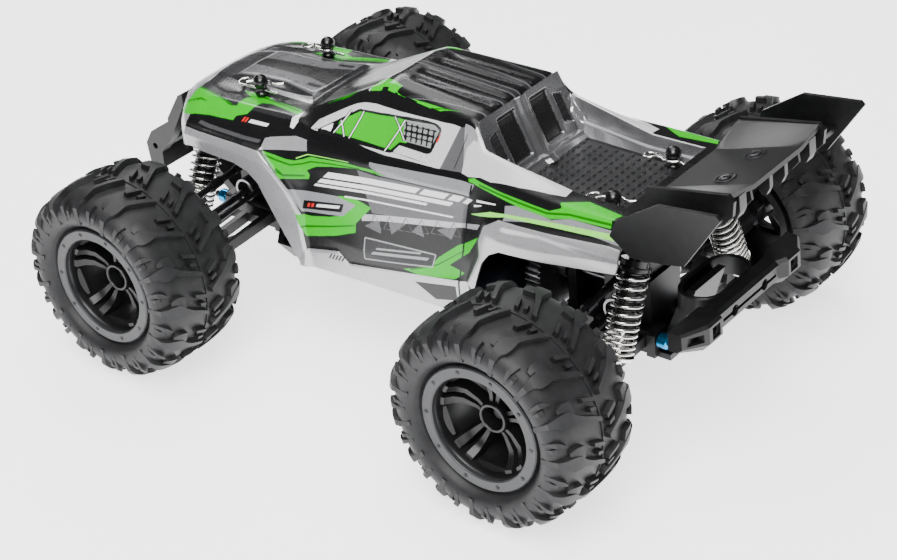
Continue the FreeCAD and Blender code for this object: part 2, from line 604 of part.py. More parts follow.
SWITCH_X = (34.0, 44.0)
SWITCH_Y = (-9.0, -4.0)


def power_switch():
    """Slide switch's thumb piece, in its slot in the floor."""
    x0, y0 = SWITCH_X[0] + 0.4, SWITCH_Y[0] + 0.3
    return fuse([box(x0, x0 + 6.0, y0, y0 + 4.4, PLATE_Z - 0.6, PLATE_Z + 2.6),
                 box(x0 + 1.5, x0 + 4.5, y0 + 0.6, y0 + 3.8, PLATE_Z - 1.8, PLATE_Z)])


CELL_R = 10.0


def battery():
    """Battery pack in its tray, beside the propeller shaft."""
    pack = box(-40.5, 45.5, 8.5, 33.0, 31.8, 54.0)
    return pack.makeFillet(CELL_R, [e for e in pack.Edges if e.Length > 80])


def control_unit():
    """Receiver and speed controller in one case, with its plug row."""
    case = box(34.5, 64, -29.0, -8.5, 32.0, 46.0)
    plugs = box(32.5, 34.6, -26, -12, 36, 43)
    return fuse([case, plugs])


def hinge_set():
    """All hinge pins, their end collars and the axle-side screws of the four arms."""
    pins = []
    for end, axle in AXLE_X.items():
        out = 1 if end == "f" else -1
        y, z = ARM_IN
        pin = cyl(axle - 16.8, y, z, 1.25, 33.6, "x")
        collar = cyl(min(axle + out * 16.8, axle + out * 21.4), y, z, 3.1, 4.6, "x")
        screw = cyl(min(axle + out * 21.4, axle + out * 24.6), y, z, 1.6, 3.2, "x")
        pins += both_sides(fuse([pin, collar, screw]))
    return pins


TOWER_X = {"f": (0.3, 3.2), "r": (-8.9, -5.9)}


def shock_tower(end):
    """Upright plate on the gearbox case, with the shocks' top pins and the two body posts on a shelf."""
    dx, (ty, tz), (near, far) = SHOCK[end]["dx"], SHOCK[end]["top"], TOWER_X[end]
    half = [(10.4, 59.45), (10.4, 63.5), (14, 67), (15.5, 78), (18.5, 80.6), (ty + 4.5, 80.6),
            (ty + 4.5, 86.5), (ty - 3, 88.0), (10, 84.5)]
    plate = prism(half + [(-y, z) for y, z in reversed(half)], "x", near, far)
    plate = plate.cut(prism([(-8, 67), (8, 67), (6, 76), (-6, 76)], "x", near - 1, far + 1))
    s = 1 if dx > 0 else -1
    face = far if dx > 0 else near
    fittings = []
    for side in (1, -1):
        studs = [(face, dx + s * 4.4, 1.2), (face, dx - s * 2.8, 2.3), (dx + s * 2.8, dx + s * 4.6, 2.4)]
        for x0, x1, r in studs:
            fittings.append(cyl(min(x0, x1), side * ty, tz, r, abs(x1 - x0), "x"))
    tower = moved(fuse([plate] + fittings), x=AXLE_X[end])
    px, py, top = POST_X[end], POST_Y[end], POST_TOP[end]
    shelf = sorted((px, AXLE_X[end] + near + 0.5))
    extra = []
    for side in (1, -1):
        y0, y1 = sorted((side * 12.5, side * (py + 3)))
        extra.append(box(shelf[0] - 2.8, shelf[1] + 2.4, y0, y1, SHELF_Z - 3, SHELF_Z))
        post = cyl(px, side * py, SHELF_Z - 3, POST_R, top - SHELF_Z + 2, "z")
        hole = cyl(px - 4, side * py, top - 4.2, 0.85, 8, "x")
        extra += [post.fuse(Part.makeSphere(BALL_R, V(px, side * py, top))).cut(hole)]
    return fuse([tower] + extra)


def front_bumper():
    """Moulded front bumper: low beam, two uprights and an upper cross bar, on a tongue to the chassis."""
    outline = [(147.0, -26), (150.5, -28), (158.0, -22), (158.0, 22), (150.5, 28), (147.0, 26)]
    beam = prism(outline, "z", 52, 61)
    beam = beam.cut(box(149.5, 153.5, -18, 18, 48, 64))
    foot = [(NOSE_X - 6.8, 31.8), (NOSE_X, 31.8), (150, 52), (150, 57), (146, 57), (NOSE_X - 1, 36),
            (NOSE_X - 6.8, 35)]
    tongue = prism(foot, "y", -7.5, 7.5)
    side = [(147, 52), (155.4, 52), (156.6, 62.5), (152.4, 69), (140.4, 76.8), (140.4, 78.4), (131.8, 91.4),
            (129.0, 92.8), (129.0, 87.0), (135.5, 76.0), (140.0, 68.0), (147, 60)]
    uprights = [prism(side, "y", *sorted((s * 23, s * 28))) for s in (1, -1)]
    bar = box(129.0, 132.4, -28, 28, 86.6, 91.0)
    bumper = fuse([beam, tongue, bar] + uprights)
    for s in (1, -1):
        bumper = bumper.cut(cyl(151.0, s * 26 - 6, 62.0, 1.4, 12))
    return bumper


def rear_bumper():
    """Moulded rear bumper: oval loop bracket and a faceted bar with four screw holes."""
    def oval(r, z0, z1):
        ends = [cyl(-124, s * 9, z0, r, z1 - z0, "z") for s in (1, -1)]
        return fuse([box(-124 - r, -124 + r, -9, 9, z0, z1)] + ends)
    loop = oval(9.5, 55.5, 64.5).cut(oval(7.3, 50, 70))
    strut = prism([(-105, 32), (-112, 32), (-119, 55.6), (-119, 58), (-114.6, 58)], "y", -7, 7)
    half = [(-132.0, 0), (-131.0, 33), (-129.5, 43.6), (-136.0, 43.6), (-141.8, 33), (-142.0, 24.0),
            (-139.0, 21.5), (-139.0, 0)]
    bar = prism(half + [(x, -y) for x, y in reversed(half[1:-1])], "z", 53.0, 64.0)
    tip = [(-130.0, 55.0), (-130.5, 65.0), (-139.8, 65.0), (-140.6, 57)]
    ends = [prism(tip, "y", *sorted((s * 25, s * 33))) for s in (1, -1)]
    bumper = fuse([loop, strut, bar] + ends)
    for s in (1, -1):
        for y in (10.9, 29.0):
            bumper = bumper.cut(cyl(-150, s * y, 59.5, 1.6, 30, "x"))
    bumper = bumper.cut(box(-145, -137.4, -7.5, 7.5, 57.5, 60.5))
    return bumper


# ---- body ---------------------------------------------------------------------------------
# Half sections, from the crown outwards and down: crown, hood or roof edge, shoulder, waist, flare, sill.
SECTIONS = [
    (126.0, [(0, 95.5), (11, 94.5), (15, 92.0), (17, 88.5), (17.5, 80.0), (17.5, 70.0)]),
    (120.0, [(0, 99.5), (16, 98.5), (24, 95.0), (28, 91.5), (31, 83.0), (31, 62.0)]),
    (112.0, [(0, 100.8), (20, 99.6), (31, 97.5), (38, 93.0), (45, 83.5), (45, 52.0)]),
    (100.0, [(0, 102.0), (22, 99.8), (32, 99.5), (40, 94.0), (47, 84.0), (47, 39.5)]),
    (78.0, [(0, 103.0), (22, 99.6), (32, 100.5), (40, 94.5), (47, 84.0), (47, 39.0)]),
    (56.0, [(0, 104.5), (24, 102.4), (32, 101.0), (39, 94.5), (45, 84.0), (43, 38.5)]),
    (16.0, [(0, 123.4), (20, 121.5), (34, 101.0), (37, 94.0), (42, 82.0), (42, 38.0)]),
    (-33.0, [(0, 120.4), (27, 118.6), (35.5, 101.0), (37.5, 94.0), (42, 82.0), (42, 38.0)]),
    (-38.0, [(0, 109.5), (30.5, 109.0), (36, 101.0), (38, 95.0), (43, 82.0), (43, 38.5)]),
    (-79.0, [(0, 101.4), (30, 101.2), (37, 100.4), (41.5, 94.0), (48, 81.0), (48, 39.0)]),
    (-110.0, [(0, 100.8), (30, 100.8), (37, 100.4), (41, 95.4), (46.5, 84.5), (46, 40.0)]),
]
BED = {"x0": -105.5, "x1": -40.0, "y": 25.0, "z": 92.5}
FRONT_ARCH = [(52.5, 30), (52.5, 40), (69, 75), (74, 80), (82, 83), (104, 84.3), (112, 84.3), (120, 88),
              (130, 88), (130, 30)]
REAR_ARCH = [(-31, 30), (-31, 39), (-43.5, 57.5), (-57, 77), (-62, 80), (-84, 80.5), (-113, 84.6), (-113, 30)]


def body_loft(inset):
    """Solid through all body sections, each drawn in by the inset."""
    wires = []
    last = len(SECTIONS) - 1
    for i, (x, half) in enumerate(SECTIONS):
        pts = [(max(0.0, y - inset * (1 if z < 98 else 0.55)) if y else 0.0, z - (0 if k == 5 else inset))
               for k, (y, z) in enumerate(half)]
        x += -inset if i == 0 else (inset if i == last else 0)
        ring = pts + [(-y, z) for y, z in reversed(pts[1:])]
        wires.append(Part.makePolygon([V(x, y, z) for y, z in ring + ring[:1]]))
    return Part.makeLoft(wires, True, True)


def body_shell():
    """Thin moulded body: hood, cab, open bed, arches for four wheels, and a hole over each post."""
    b, t = BED, SHELL_T
    outer = body_loft(0).cut(box(b["x0"], b["x1"], -b["y"], b["y"], b["z"], 130))
    inner = body_loft(t).cut(box(b["x0"] - t, b["x1"] + t, -b["y"] - t, b["y"] + t, b["z"] - t, 130))
    inner = inner.fuse(box(-113, 119, -32, 32, 20, 61)).fuse(box(-113, -100, -36, 36, 60, b["z"] - t))
    shell = outer.cut(inner)
    for arch in (FRONT_ARCH, REAR_ARCH):
        shell = shell.cut(prism(arch, "y", -60, 60))
    shell = shell.cut(box(-60, 60, -60, 60, 20, 39.5))
    shell = shell.cut(box(-112, -108.6, -15, 15, 85, 95))
    for end in "fr":
        for s in (1, -1):
            shell = shell.cut(cyl(POST_X[end], s * POST_Y[end], 85, 3.0, 40, "z"))
    return max(shell.Solids, key=lambda solid: solid.Volume)


WING_T = 1.8
WING_FRONT = (-113.0, 107.8)
WING_REAR = (-150.5, 119.1)
WING_RIM = ((-115.3, 116.0), (-149.5, 121.8))
WING_FOOT = ((-112.5, 105.2), (-147.5, 112.5))
WING_TIP = ((-112.8, 104.6), (-146.5, 111.5))
PLANK_Y = 17.0
RIM_Y = 31.6
RIM_WALL = [WING_RIM[0], WING_RIM[1], (-152.0, 119.5), (-151.5, 113.5), (-148.0, 109.5), (-140.0, 108.4),
            (-112.8, 103.6)]
WING_RAKE = (WING_REAR[1] - WING_FRONT[1]) / (WING_FRONT[0] - WING_REAR[0])
WING_SCREW = (-134.7, 10.7)
MOUNT_GAP = 0.2
PLATE_OUTLINE = [(-111.4, 103.7), (-114.2, 110.3), (-131.7, 121.7), (-156.4, 124.3), (-158.0, 122.8),
                 (-142.9, 100.2), (-134.7, 98.6), (-120.2, 97.1), (-115.2, 101.1)]


def wing_top(x):
    """Height of the plank's upper face at x."""
    return WING_FRONT[1] + (WING_FRONT[0] - x) * WING_RAKE


def rear_wing():
    """Rear wing: raked plank between two raised rims, lower outer panels, end plates and short ribs."""
    def panel(y0, line0, y1, line1):
        """Panel between two chord lines, each given by the ends of its upper edge."""
        wires = []
        for y, ((x0, z0), (x1, z1)) in ((y0, line0), (y1, line1)):
            pts = [(x0, z0), (x1, z1), (x1 - 0.4, z1 - WING_T), (x0 - 0.5, z0 - WING_T)]
            wires.append(Part.makePolygon([V(x, y, z) for x, z in pts + pts[:1]]))
        return Part.makeLoft(wires, True, True)
    plank = (WING_FRONT, WING_REAR)
    parts = [panel(-PLANK_Y, plank, PLANK_Y, plank)]
    for s in (1, -1):
        parts.append(panel(s * PLANK_Y, plank, s * (RIM_Y + WING_T), WING_RIM))
        parts.append(prism(RIM_WALL, "y", *sorted((s * RIM_Y, s * (RIM_Y + WING_T)))))
        parts.append(panel(s * (RIM_Y + 0.2), WING_FOOT, s * 50.8, WING_TIP))
        parts.append(prism(PLATE_OUTLINE, "y", *sorted((s * 50.6, s * 52.5))))
        rib = [(x, wing_top(x) - 1.2) for x in (-128, -149)] + [(-150, 112.6), (-147, 108.8), (-136, 107.2)]
        parts.append(prism(rib, "y", s * PLANK_Y - 0.7, s * PLANK_Y + 0.7))
    return fuse(parts).cut(wing_screws(1.55)[0]).cut(wing_screws(1.55)[1])


def wing_screws(radius, head=0.0):
    """The two wing screws' shanks, square to the raked plank, and their heads if asked for."""
    screws = []
    for s in (1, -1):
        stud = cyl(0, 0, -6.5, radius, 8.3, "z")
        if head:
            stud = stud.fuse(cyl(0, 0, 1.8, head, 1.5, "z"))
        stud.rotate(V(0, 0, 0), V(0, 1, 0), math.degrees(math.atan(WING_RAKE)))
        x, y = WING_SCREW
        screws.append(moved(stud, x=x, y=s * y, z=wing_top(x) - WING_T + 0.15))
    return screws


def wing_mount():
    """Pillars that hold the wing above the rear tower."""
    seat = [(x, wing_top(x) - WING_T - MOUNT_GAP) for x in (-131.0, -138.5)]
    side = [(-99.0, 78.6), (-99.0, 82), (-102, 85)] + seat + [(-138.5, 110.0), (-107, 78.6)]
    pillars = [prism(side, "y", *sorted((s * 7.5, s * 14))) for s in (1, -1)]
    bridge = box(-107, -99, -14, 14, 78.6, 82)
    return fuse(pillars + [bridge]).cut(wing_screws(1.5)[0]).cut(wing_screws(1.5)[1])


def screw_set():
    """Machine screws of the wing and the rear bumper as one group of separate solids."""
    screws = wing_screws(1.45, 2.9)
    for s in (1, -1):
        for y, x in ((10.9, -139.1), (29.0, -142.3)):
            stud = cyl(x, s * y, 59.5, 1.4, 8, "x")
            screws.append(stud.fuse(cyl(x - 1.2, s * y, 59.5, 2.4, 1.3, "x")))
    return screws


def body_clips():
    """Four spring clips: a straight leg through the post and a pull ring."""
    clips = []
    for end in "fr":
        for s in (1, -1):
            x, y, z = POST_X[end], s * POST_Y[end], POST_TOP[end] - 4.2
            leg = rod((x - 9, y, z), (x + 9.5, y, z), 0.6)
            ring = Part.makeTorus(3.0, 0.6, V(x + 11.6, y, z + 2.1), V(0, 1, 0))
            clips.append(fuse([leg, ring]))
    return clips


# ---- build --------------------------------------------------------------------------------
def build():
    """Makes every sub-part and writes it to its file."""
    one_tyre, one_rim, one_axle = tyre(), rim(), stub_axle()
    for end, axle in AXLE_X.items():
        save_pair("tyre", moved(one_tyre, x=axle), end)
        save_pair("wheel_rim", [moved(s, x=axle) for s in one_rim + [one_axle]], end)
        save_pair("lower_arm", moved(lower_arm(end), x=axle), end)
        save_pair("camber_link", moved(camber_link(), x=axle), end)
        save_pair("drive_shaft", moved(drive_shaft(), x=axle), end)
        save_pair("shock_body", moved(shock_body(end), x=axle), end)
        save_pair("shock_rod", moved(shock_rod(end), x=axle), end)
        save_pair("shock_spring", moved(spring(end), x=axle), end)
    save_pair("caster_block", moved(caster_block(), x=FRONT_AXLE_X), "f")
    save_pair("steering_knuckle", moved(knuckle(), x=FRONT_AXLE_X), "f")
    save_pair("rear_hub_carrier", moved(rear_carrier(), x=REAR_AXLE_X), "r")
    save_pair("tie_rod", tie_rod(), "f")
    save("steering_rack", steering_rack())
    save("steering_servo", servo())
    save("servo_horn", servo_horn())
    save("differential_front", moved(differential(), x=FRONT_AXLE_X))
    save("differential_rear", moved(mirrored(differential()), x=REAR_AXLE_X))
    save("centre_shaft", centre_shaft())
    save("drive_motor", motor())
    save("motor_pinion", motor_pinion())
    front_case = fuse([gearbox_housing(-1)] + rack_guide())
    save("gearbox_housings", [moved(front_case, x=FRONT_AXLE_X), moved(gearbox_housing(1), x=REAR_AXLE_X)])
    save("chassis_tub", chassis())
    save("battery_pack", battery())
    save("control_unit", control_unit())
    save("power_switch", power_switch())
    save("shock_towers", [shock_tower("f"), shock_tower("r"), wing_mount()])
    save("front_bumper", front_bumper())
    save("rear_bumper", rear_bumper())
    save("body_shell", body_shell())
    save("rear_wing", rear_wing())
    save("pins_and_screws", hinge_set() + screw_set())
    save("body_clips", body_clips())


build()
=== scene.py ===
"""Looks of the radio-controlled monster truck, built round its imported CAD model."""

import json
import math

import bmesh
import bpy
import numpy as np
from mathutils import Matrix, Vector


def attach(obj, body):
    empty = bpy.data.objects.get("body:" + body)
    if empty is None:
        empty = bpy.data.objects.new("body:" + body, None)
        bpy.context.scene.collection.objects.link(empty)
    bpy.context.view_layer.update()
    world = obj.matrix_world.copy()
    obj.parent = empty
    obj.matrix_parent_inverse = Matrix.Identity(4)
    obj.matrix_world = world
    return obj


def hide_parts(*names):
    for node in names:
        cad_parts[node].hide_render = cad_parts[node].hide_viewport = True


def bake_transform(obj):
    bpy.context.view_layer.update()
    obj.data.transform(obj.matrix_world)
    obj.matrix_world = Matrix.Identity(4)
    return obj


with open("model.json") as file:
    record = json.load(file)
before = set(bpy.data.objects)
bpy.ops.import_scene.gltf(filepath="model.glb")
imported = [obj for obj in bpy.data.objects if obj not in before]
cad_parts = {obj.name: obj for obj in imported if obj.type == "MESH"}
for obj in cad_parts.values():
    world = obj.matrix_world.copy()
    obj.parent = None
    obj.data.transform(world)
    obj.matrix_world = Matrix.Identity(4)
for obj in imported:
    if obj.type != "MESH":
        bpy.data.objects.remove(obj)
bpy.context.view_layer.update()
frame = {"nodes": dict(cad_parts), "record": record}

MM = 0.001
CORNERS = {"fl": (106.0, 1), "fr": (106.0, -1), "rl": (-90.0, 1), "rr": (-90.0, -1)}
WHEEL_Z = 44.0
TYRE_MID_Y = 89.5
NOISE_ROUGHNESS = 0.6


# ---- materials ----------------------------------------------------------------------------
class Nodes:
    """Small helper that adds and links shader nodes."""

    def __init__(self, name):
        self.material = bpy.data.materials.new(name)
        self.material.use_nodes = True
        self.tree = self.material.node_tree
        self.shader = self.tree.nodes["Principled BSDF"]

    def add(self, kind, **values):
        node = self.tree.nodes.new("ShaderNode" + kind)
        for key, value in values.items():
            setattr(node, key, value)
        return node

    def link(self, source, target):
        self.tree.links.new(source, target)

    def noise(self, scale, detail):
        place = self.add("TexCoord")
        node = self.add("TexNoise")
        node.inputs["Scale"].default_value = scale
        node.inputs["Detail"].default_value = detail
        node.inputs["Roughness"].default_value = NOISE_ROUGHNESS
        self.link(place.outputs["Object"], node.inputs["Vector"])
        return node.outputs["Fac"]

    def ramp(self, fac, stops):
        node = self.add("ValToRGB")
        ramp = node.color_ramp
        while len(ramp.elements) < len(stops):
            ramp.elements.new(0.5)
        for element, (at, colour) in zip(ramp.elements, stops):
            element.position = at
            element.color = (*colour, 1.0)
        self.link(fac, node.inputs["Fac"])
        return node.outputs["Color"]

    def bump(self, fac, strength, distance):
        node = self.add("Bump")
        node.inputs["Strength"].default_value = strength
        node.inputs["Distance"].default_value = distance
        self.link(fac, node.inputs["Height"])
        self.link(node.outputs["Normal"], self.shader.inputs["Normal"])


def span(n, fac, low, high):
    """Maps a 0 to 1 value onto low to high."""
    node = n.add("MapRange")
    node.inputs["To Min"].default_value = low
    node.inputs["To Max"].default_value = high
    n.link(fac, node.inputs["Value"])
    return node.outputs["Result"]


def surface(name, dark, light, rough, scale, grain, metal=0.0, coat=0.0, specular=0.5):
    """Finish whose colour drifts between two near tones, with a fine grain in gloss and relief."""
    n = Nodes(name)
    s = n.shader
    s.inputs["Metallic"].default_value = metal
    s.inputs["Coat Weight"].default_value = coat
    s.inputs["Coat Roughness"].default_value = 0.08
    s.inputs["Specular IOR Level"].default_value = specular
    drift = n.noise(scale * 0.12, 3.0)
    n.link(n.ramp(drift, [(0.35, dark), (0.65, light)]), s.inputs["Base Color"])
    fine = n.noise(scale, 5.0)
    n.link(span(n, fine, rough - 0.06, rough + 0.06), s.inputs["Roughness"])
    if grain:
        n.bump(fine, grain, 0.0002)
    return n.material


RUBBER = surface("rubber", (0.0105, 0.0105, 0.0112), (0.0165, 0.0165, 0.0175), 0.50, scale=1600, grain=0.25,
                 specular=0.34)
RIM_BLACK = surface("rim_black", (0.0050, 0.0050, 0.0054), (0.0085, 0.0085, 0.0090), 0.34, scale=700,
                    grain=0.05,
                    specular=0.42)
RING_GREY = surface("ring_grey", (0.024, 0.0245, 0.026), (0.031, 0.0315, 0.033), 0.40, scale=1500, grain=0.1)
NYLON = surface("nylon", (0.0060, 0.0060, 0.0064), (0.0100, 0.0100, 0.0105), 0.40, scale=1400, grain=0.18,
                specular=0.4)
WING_BLACK = surface("wing_black", (0.0045, 0.0045, 0.0050), (0.0075, 0.0075, 0.0080), 0.36, scale=2200,
                     grain=0.12,
                     specular=0.32)
GLOSS_BLACK = surface("gloss_black", (0.004, 0.004, 0.0045), (0.007, 0.007, 0.0075), 0.22, scale=500,
                      grain=0.02)
CHROME = surface("chrome", (0.70, 0.69, 0.66), (0.82, 0.81, 0.78), 0.15, metal=1.0, scale=600, grain=0.02)
STEEL = surface("steel", (0.26, 0.26, 0.27), (0.38, 0.38, 0.39), 0.32, metal=1.0, scale=900, grain=0.08)
DARK_STEEL = surface("dark_steel", (0.03, 0.03, 0.033), (0.06, 0.06, 0.065), 0.34, metal=0.9, scale=900,
                     grain=0.05)
BLUE_METAL = surface("blue_metal", (0.00, 0.22, 0.50), (0.01, 0.32, 0.66), 0.25, metal=0.9, scale=700,
                     grain=0.03)
SLEEVE_DARK = surface("sleeve_dark", (0.006, 0.007, 0.011), (0.009, 0.011, 0.017), 0.34, scale=400,
                      grain=0.05)
WHITE_NYLON = surface("white_nylon", (0.62, 0.62, 0.59), (0.72, 0.72, 0.69), 0.4, scale=900, grain=0.05)
RED_PLASTIC = surface("red_plastic", (0.45, 0.02, 0.015), (0.58, 0.03, 0.02), 0.35, scale=900, grain=0.05)
SHELL_INSIDE = surface("shell_inside", (0.0045, 0.0045, 0.005), (0.0075, 0.0075, 0.008), 0.5, scale=900,
                       grain=0.1)


# ---- mesh helpers -------------------------------------------------------------------------
def new_object(name, verts, faces, materials, sharp=35.0, indices=None):
    """Mesh object from points in millimetres, smooth-shaded up to the given angle."""
    mesh = bpy.data.meshes.new(name)
    mesh.from_pydata([(x * MM, y * MM, z * MM) for x, y, z in verts], [], faces)
    for material in materials if isinstance(materials, list) else [materials]:
        mesh.materials.append(material)
    if indices is not None:
        mesh.polygons.foreach_set("material_index", indices)
    mesh.update()
    mesh.shade_smooth()
    mesh.set_sharp_from_angle(angle=math.radians(sharp))
    obj = bpy.data.objects.new(name, mesh)
    bpy.context.collection.objects.link(obj)
    return obj


def add_piece(obj, body, nodes):
    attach(obj, body)
    if nodes:
        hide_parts(*nodes)
    return obj


def apply_modifiers(obj):
    """Bakes an object's modifiers into its mesh."""
    bpy.context.view_layer.update()
    shaped = bpy.data.meshes.new_from_object(obj.evaluated_get(bpy.context.evaluated_depsgraph_get()))
    old = obj.data
    obj.modifiers.clear()
    obj.data = shaped
    bpy.data.meshes.remove(old)
    return obj


def bevelled(obj, width, segments, angle=30.0):
    """Rounds the sharp edges by a width in millimetres and shades the flat faces evenly."""
    modifier = obj.modifiers.new("bevel", "BEVEL")
    modifier.width = width * MM
    modifier.segments = segments
    modifier.limit_method = "ANGLE"
    modifier.angle_limit = math.radians(angle)
    apply_modifiers(obj)
    obj.data.shade_smooth()
    obj.data.set_sharp_from_angle(angle=math.radians(50))
    flat = obj.modifiers.new("flat", "WEIGHTED_NORMAL")
    flat.weight = 80
    flat.keep_sharp = True
    return apply_modifiers(obj)


def rounded_copy(node, material, width):
    """Copy of a CAD node with its edges rounded, which stands for that node."""
    source = frame["nodes"][node]
    mesh = bmesh.new()
    mesh.from_mesh(source.data)
    mesh.transform(source.matrix_world)
    bmesh.ops.remove_doubles(mesh, verts=mesh.verts, dist=2e-6)
    bmesh.ops.dissolve_limit(mesh, angle_limit=math.radians(0.6), verts=mesh.verts, edges=mesh.edges)
    data = bpy.data.meshes.new(node + "_look")
    mesh.to_mesh(data)
    mesh.free()
    data.materials.append(material)
    obj = bpy.data.objects.new(node + "_look", data)
    bpy.context.collection.objects.link(obj)
    bevelled(obj, width, 2)
    return add_piece(obj, BODY_OF[node], [node])


BODY_OF = {node: body for body, nodes in frame["record"]["behaviour"]["bodies"].items() for node in nodes}


class Build:
    """Collects points and faces of one mesh made of many closed pieces."""

    def __init__(self):
        self.verts = []
        self.faces = []
        self.slots = []

    def add(self, verts, faces, slot=0):
        base = len(self.verts)
        self.verts += [tuple(v) for v in verts]
        self.faces += [tuple(base + i for i in face) for face in faces]
        self.slots += [slot] * len(faces)

    def grid(self, rows, slot=0, close_u=False, close_v=False):
        """Quads between rows of points. close_u joins the last row to the first, close_v each row's ends."""
        count, width = len(rows), len(rows[0])
        faces = []
        for i in range(count if close_u else count - 1):
            for j in range(width if close_v else width - 1):
                a, b = i * width, ((i + 1) % count) * width
                k = (j + 1) % width
                faces.append((a + j, a + k, b + k, b + j))
        self.add([p for row in rows for p in row], faces, slot)

    def solid(self, sections, slot=0):
        """Closed solid through polygons with equal numbers of corners."""
        width = len(sections[0])
        first = len(self.verts)
        self.grid(sections, slot, close_v=True)
        last = first + width * (len(sections) - 1)
        self.faces += [tuple(first + width - 1 - i for i in range(width)),
                       tuple(last + i for i in range(width))]
        self.slots += [slot, slot]

    def lathe_y(self, profile, steps, slot=0):
        """Surface of revolution about the Y axis through the wheel centre. Profile points are (radius, y)."""
        rows = []
        for i in range(steps):
            a = 2 * math.pi * i / steps
            rows.append([(r * math.sin(a), y, r * math.cos(a)) for r, y in profile])
        self.grid(rows, slot, close_u=True, close_v=True)

    def object(self, name, materials, sharp=35.0):
        return new_object(name, self.verts, self.faces, materials, sharp, self.slots)


def placed(build, corner):
    """Copy of a wheel-centred build at a corner. The right-hand ones are mirrored."""
    x, side = CORNERS[corner]
    copy = Build()
    copy.verts = [(px + x, side * py, pz + WHEEL_Z) for px, py, pz in build.verts]
    copy.faces = build.faces if side > 0 else [tuple(reversed(f)) for f in build.faces]
    copy.slots = build.slots
    return copy


# ---- tyres --------------------------------------------------------------------------------
HALF_TYRE = [(24.1, 16.9), (26.9, 17.5), (28.6, 21.0), (31.0, 22.6), (33.6, 23.0), (36.4, 22.0), (38.6, 20.0),
             (40.0, 17.0), (40.7, 13.0), (41.1, 8.0), (41.2, 3.0), (41.2, 0.0)]
LUG_COUNT = 15


def smooth_line(points, rounds):
    """Corner-cutting subdivision of an open line."""
    for _ in range(rounds):
        out = [points[0]]
        for p, q in zip(points, points[1:]):
            out.append(tuple(0.75 * a + 0.25 * b for a, b in zip(p, q)))
            out.append(tuple(0.25 * a + 0.75 * b for a, b in zip(p, q)))
        points = out + [points[-1]]
    return points


TYRE_LINE = np.array(smooth_line(HALF_TYRE[::-1], 3))
TYRE_RUN = np.concatenate([[0], np.cumsum(np.hypot(*np.diff(TYRE_LINE, axis=0).T))])


def tyre_point(around, across, height, side):
    """Point on the tyre: mm round the tread, mm from the centre line along the surface, mm above it."""
    r = np.interp(across, TYRE_RUN, TYRE_LINE[:, 0])
    y = np.interp(across, TYRE_RUN, TYRE_LINE[:, 1])
    step = 0.4
    dr = np.interp(across + step, TYRE_RUN, TYRE_LINE[:, 0]) - np.interp(across - step, TYRE_RUN,
                                                                         TYRE_LINE[:, 0])
    dy = np.interp(across + step, TYRE_RUN, TYRE_LINE[:, 1]) - np.interp(across - step, TYRE_RUN,
                                                                         TYRE_LINE[:, 1])
    size = math.hypot(dr, dy) or 1.0
    r = min(r + height * dy / size, 43.95)
    y = min(y - height * dr / size, 22.95)
    a = around / 42.0
    return (r * math.sin(a), TYRE_MID_Y + side * y, r * math.cos(a))


def lug(build, rungs, start, side):
    """Raised bar on the tyre. Each rung is (around left, around right, across, height)."""
    rows = []
    fine = smooth_line(rungs, 1)
    for left, right, across, height in fine:
        draft = min(0.35, 0.25 * abs(right - left))
        ring = [(left, -0.6), (left + draft, height), (right - draft, height), (right, -0.6)]
        rows.append([tyre_point(start + a, across, h, side) for a, h in ring])
    base = len(build.verts)
    build.grid(rows)
    last = base + 4 * (len(rows) - 1)
    caps = [(base, base + 3, base + 2, base + 1), (last, last + 1, last + 2, last + 3)]
    build.faces += caps if side > 0 else caps
    build.slots += [0, 0]


LONG_LUG = [(-4.6, -2.2, 1.6, 2.6), (-3.0, -0.2, 5.0, 2.7), (-0.8, 2.0, 9.5, 2.7), (1.0, 4.6, 13.0, 2.6),
            (0.6, 7.2, 15.2, 2.6), (0.8, 7.4, 18.6, 2.4), (2.6, 7.0, 20.0, 2.2), (3.2, 6.4, 23.5, 1.5),
            (3.0, 6.0, 27.0, 1.2), (2.4, 5.6, 29.0, 1.1)]
HOOK_LUG = [(4.4, 9.6, 12.6, 2.2), (4.2, 10.4, 14.4, 2.4), (7.0, 10.6, 16.6, 2.2), (7.0, 9.4, 18.6, 1.6)]
SHORT_LUG = [(3.4, 5.6, 1.8, 2.4), (4.6, 6.9, 4.8, 2.5), (5.8, 8.0, 7.6, 2.4)]
TWIN_LUG = [(0.2, 2.2, 2.6, 2.2), (1.0, 3.2, 5.6, 2.3)]
SIDE_RIB = [(11.6, 13.2, 19.2, 1.8), (12.2, 15.4, 21.4, 1.9), (12.8, 15.2, 24.6, 1.4),
            (12.4, 14.4, 27.8, 1.0)]
SIDE_BLOCK = [(9.4, 12.4, 22.0, 0.8), (9.6, 12.0, 24.6, 0.9), (9.6, 11.8, 26.8, 0.8)]


def tyre_build():
    build = Build()
    outer = [(r, TYRE_MID_Y + y) for r, y in TYRE_LINE[::-1]]
    inner = [(r, TYRE_MID_Y - y) for r, y in TYRE_LINE]
    hollow = [(24.1, TYRE_MID_Y - 14), (24.1, TYRE_MID_Y + 14)]
    build.lathe_y(outer + inner[1:] + hollow, 150)
    pitch = 2 * math.pi * 42.0 / LUG_COUNT
    for side in (1, -1):
        for i in range(LUG_COUNT):
            start = pitch * (i + (0.5 if side < 0 else 0.0))
            for rungs in (LONG_LUG, HOOK_LUG, SHORT_LUG, TWIN_LUG, SIDE_RIB, SIDE_BLOCK):
                lug(build, rungs, start, side)
    seam = [(41.0, TYRE_MID_Y - 0.5), (41.75, TYRE_MID_Y - 0.3), (41.75, TYRE_MID_Y + 0.3),
            (41.0, TYRE_MID_Y + 0.5)]
    build.lathe_y(seam, 150)
    for edge in (1, -1):
        bead = [(27.4, 18.6), (27.9, 19.7), (28.6, 20.4), (28.0, 18.4)]
        build.lathe_y([(r, TYRE_MID_Y + edge * y) for r, y in bead], 120)
    return build


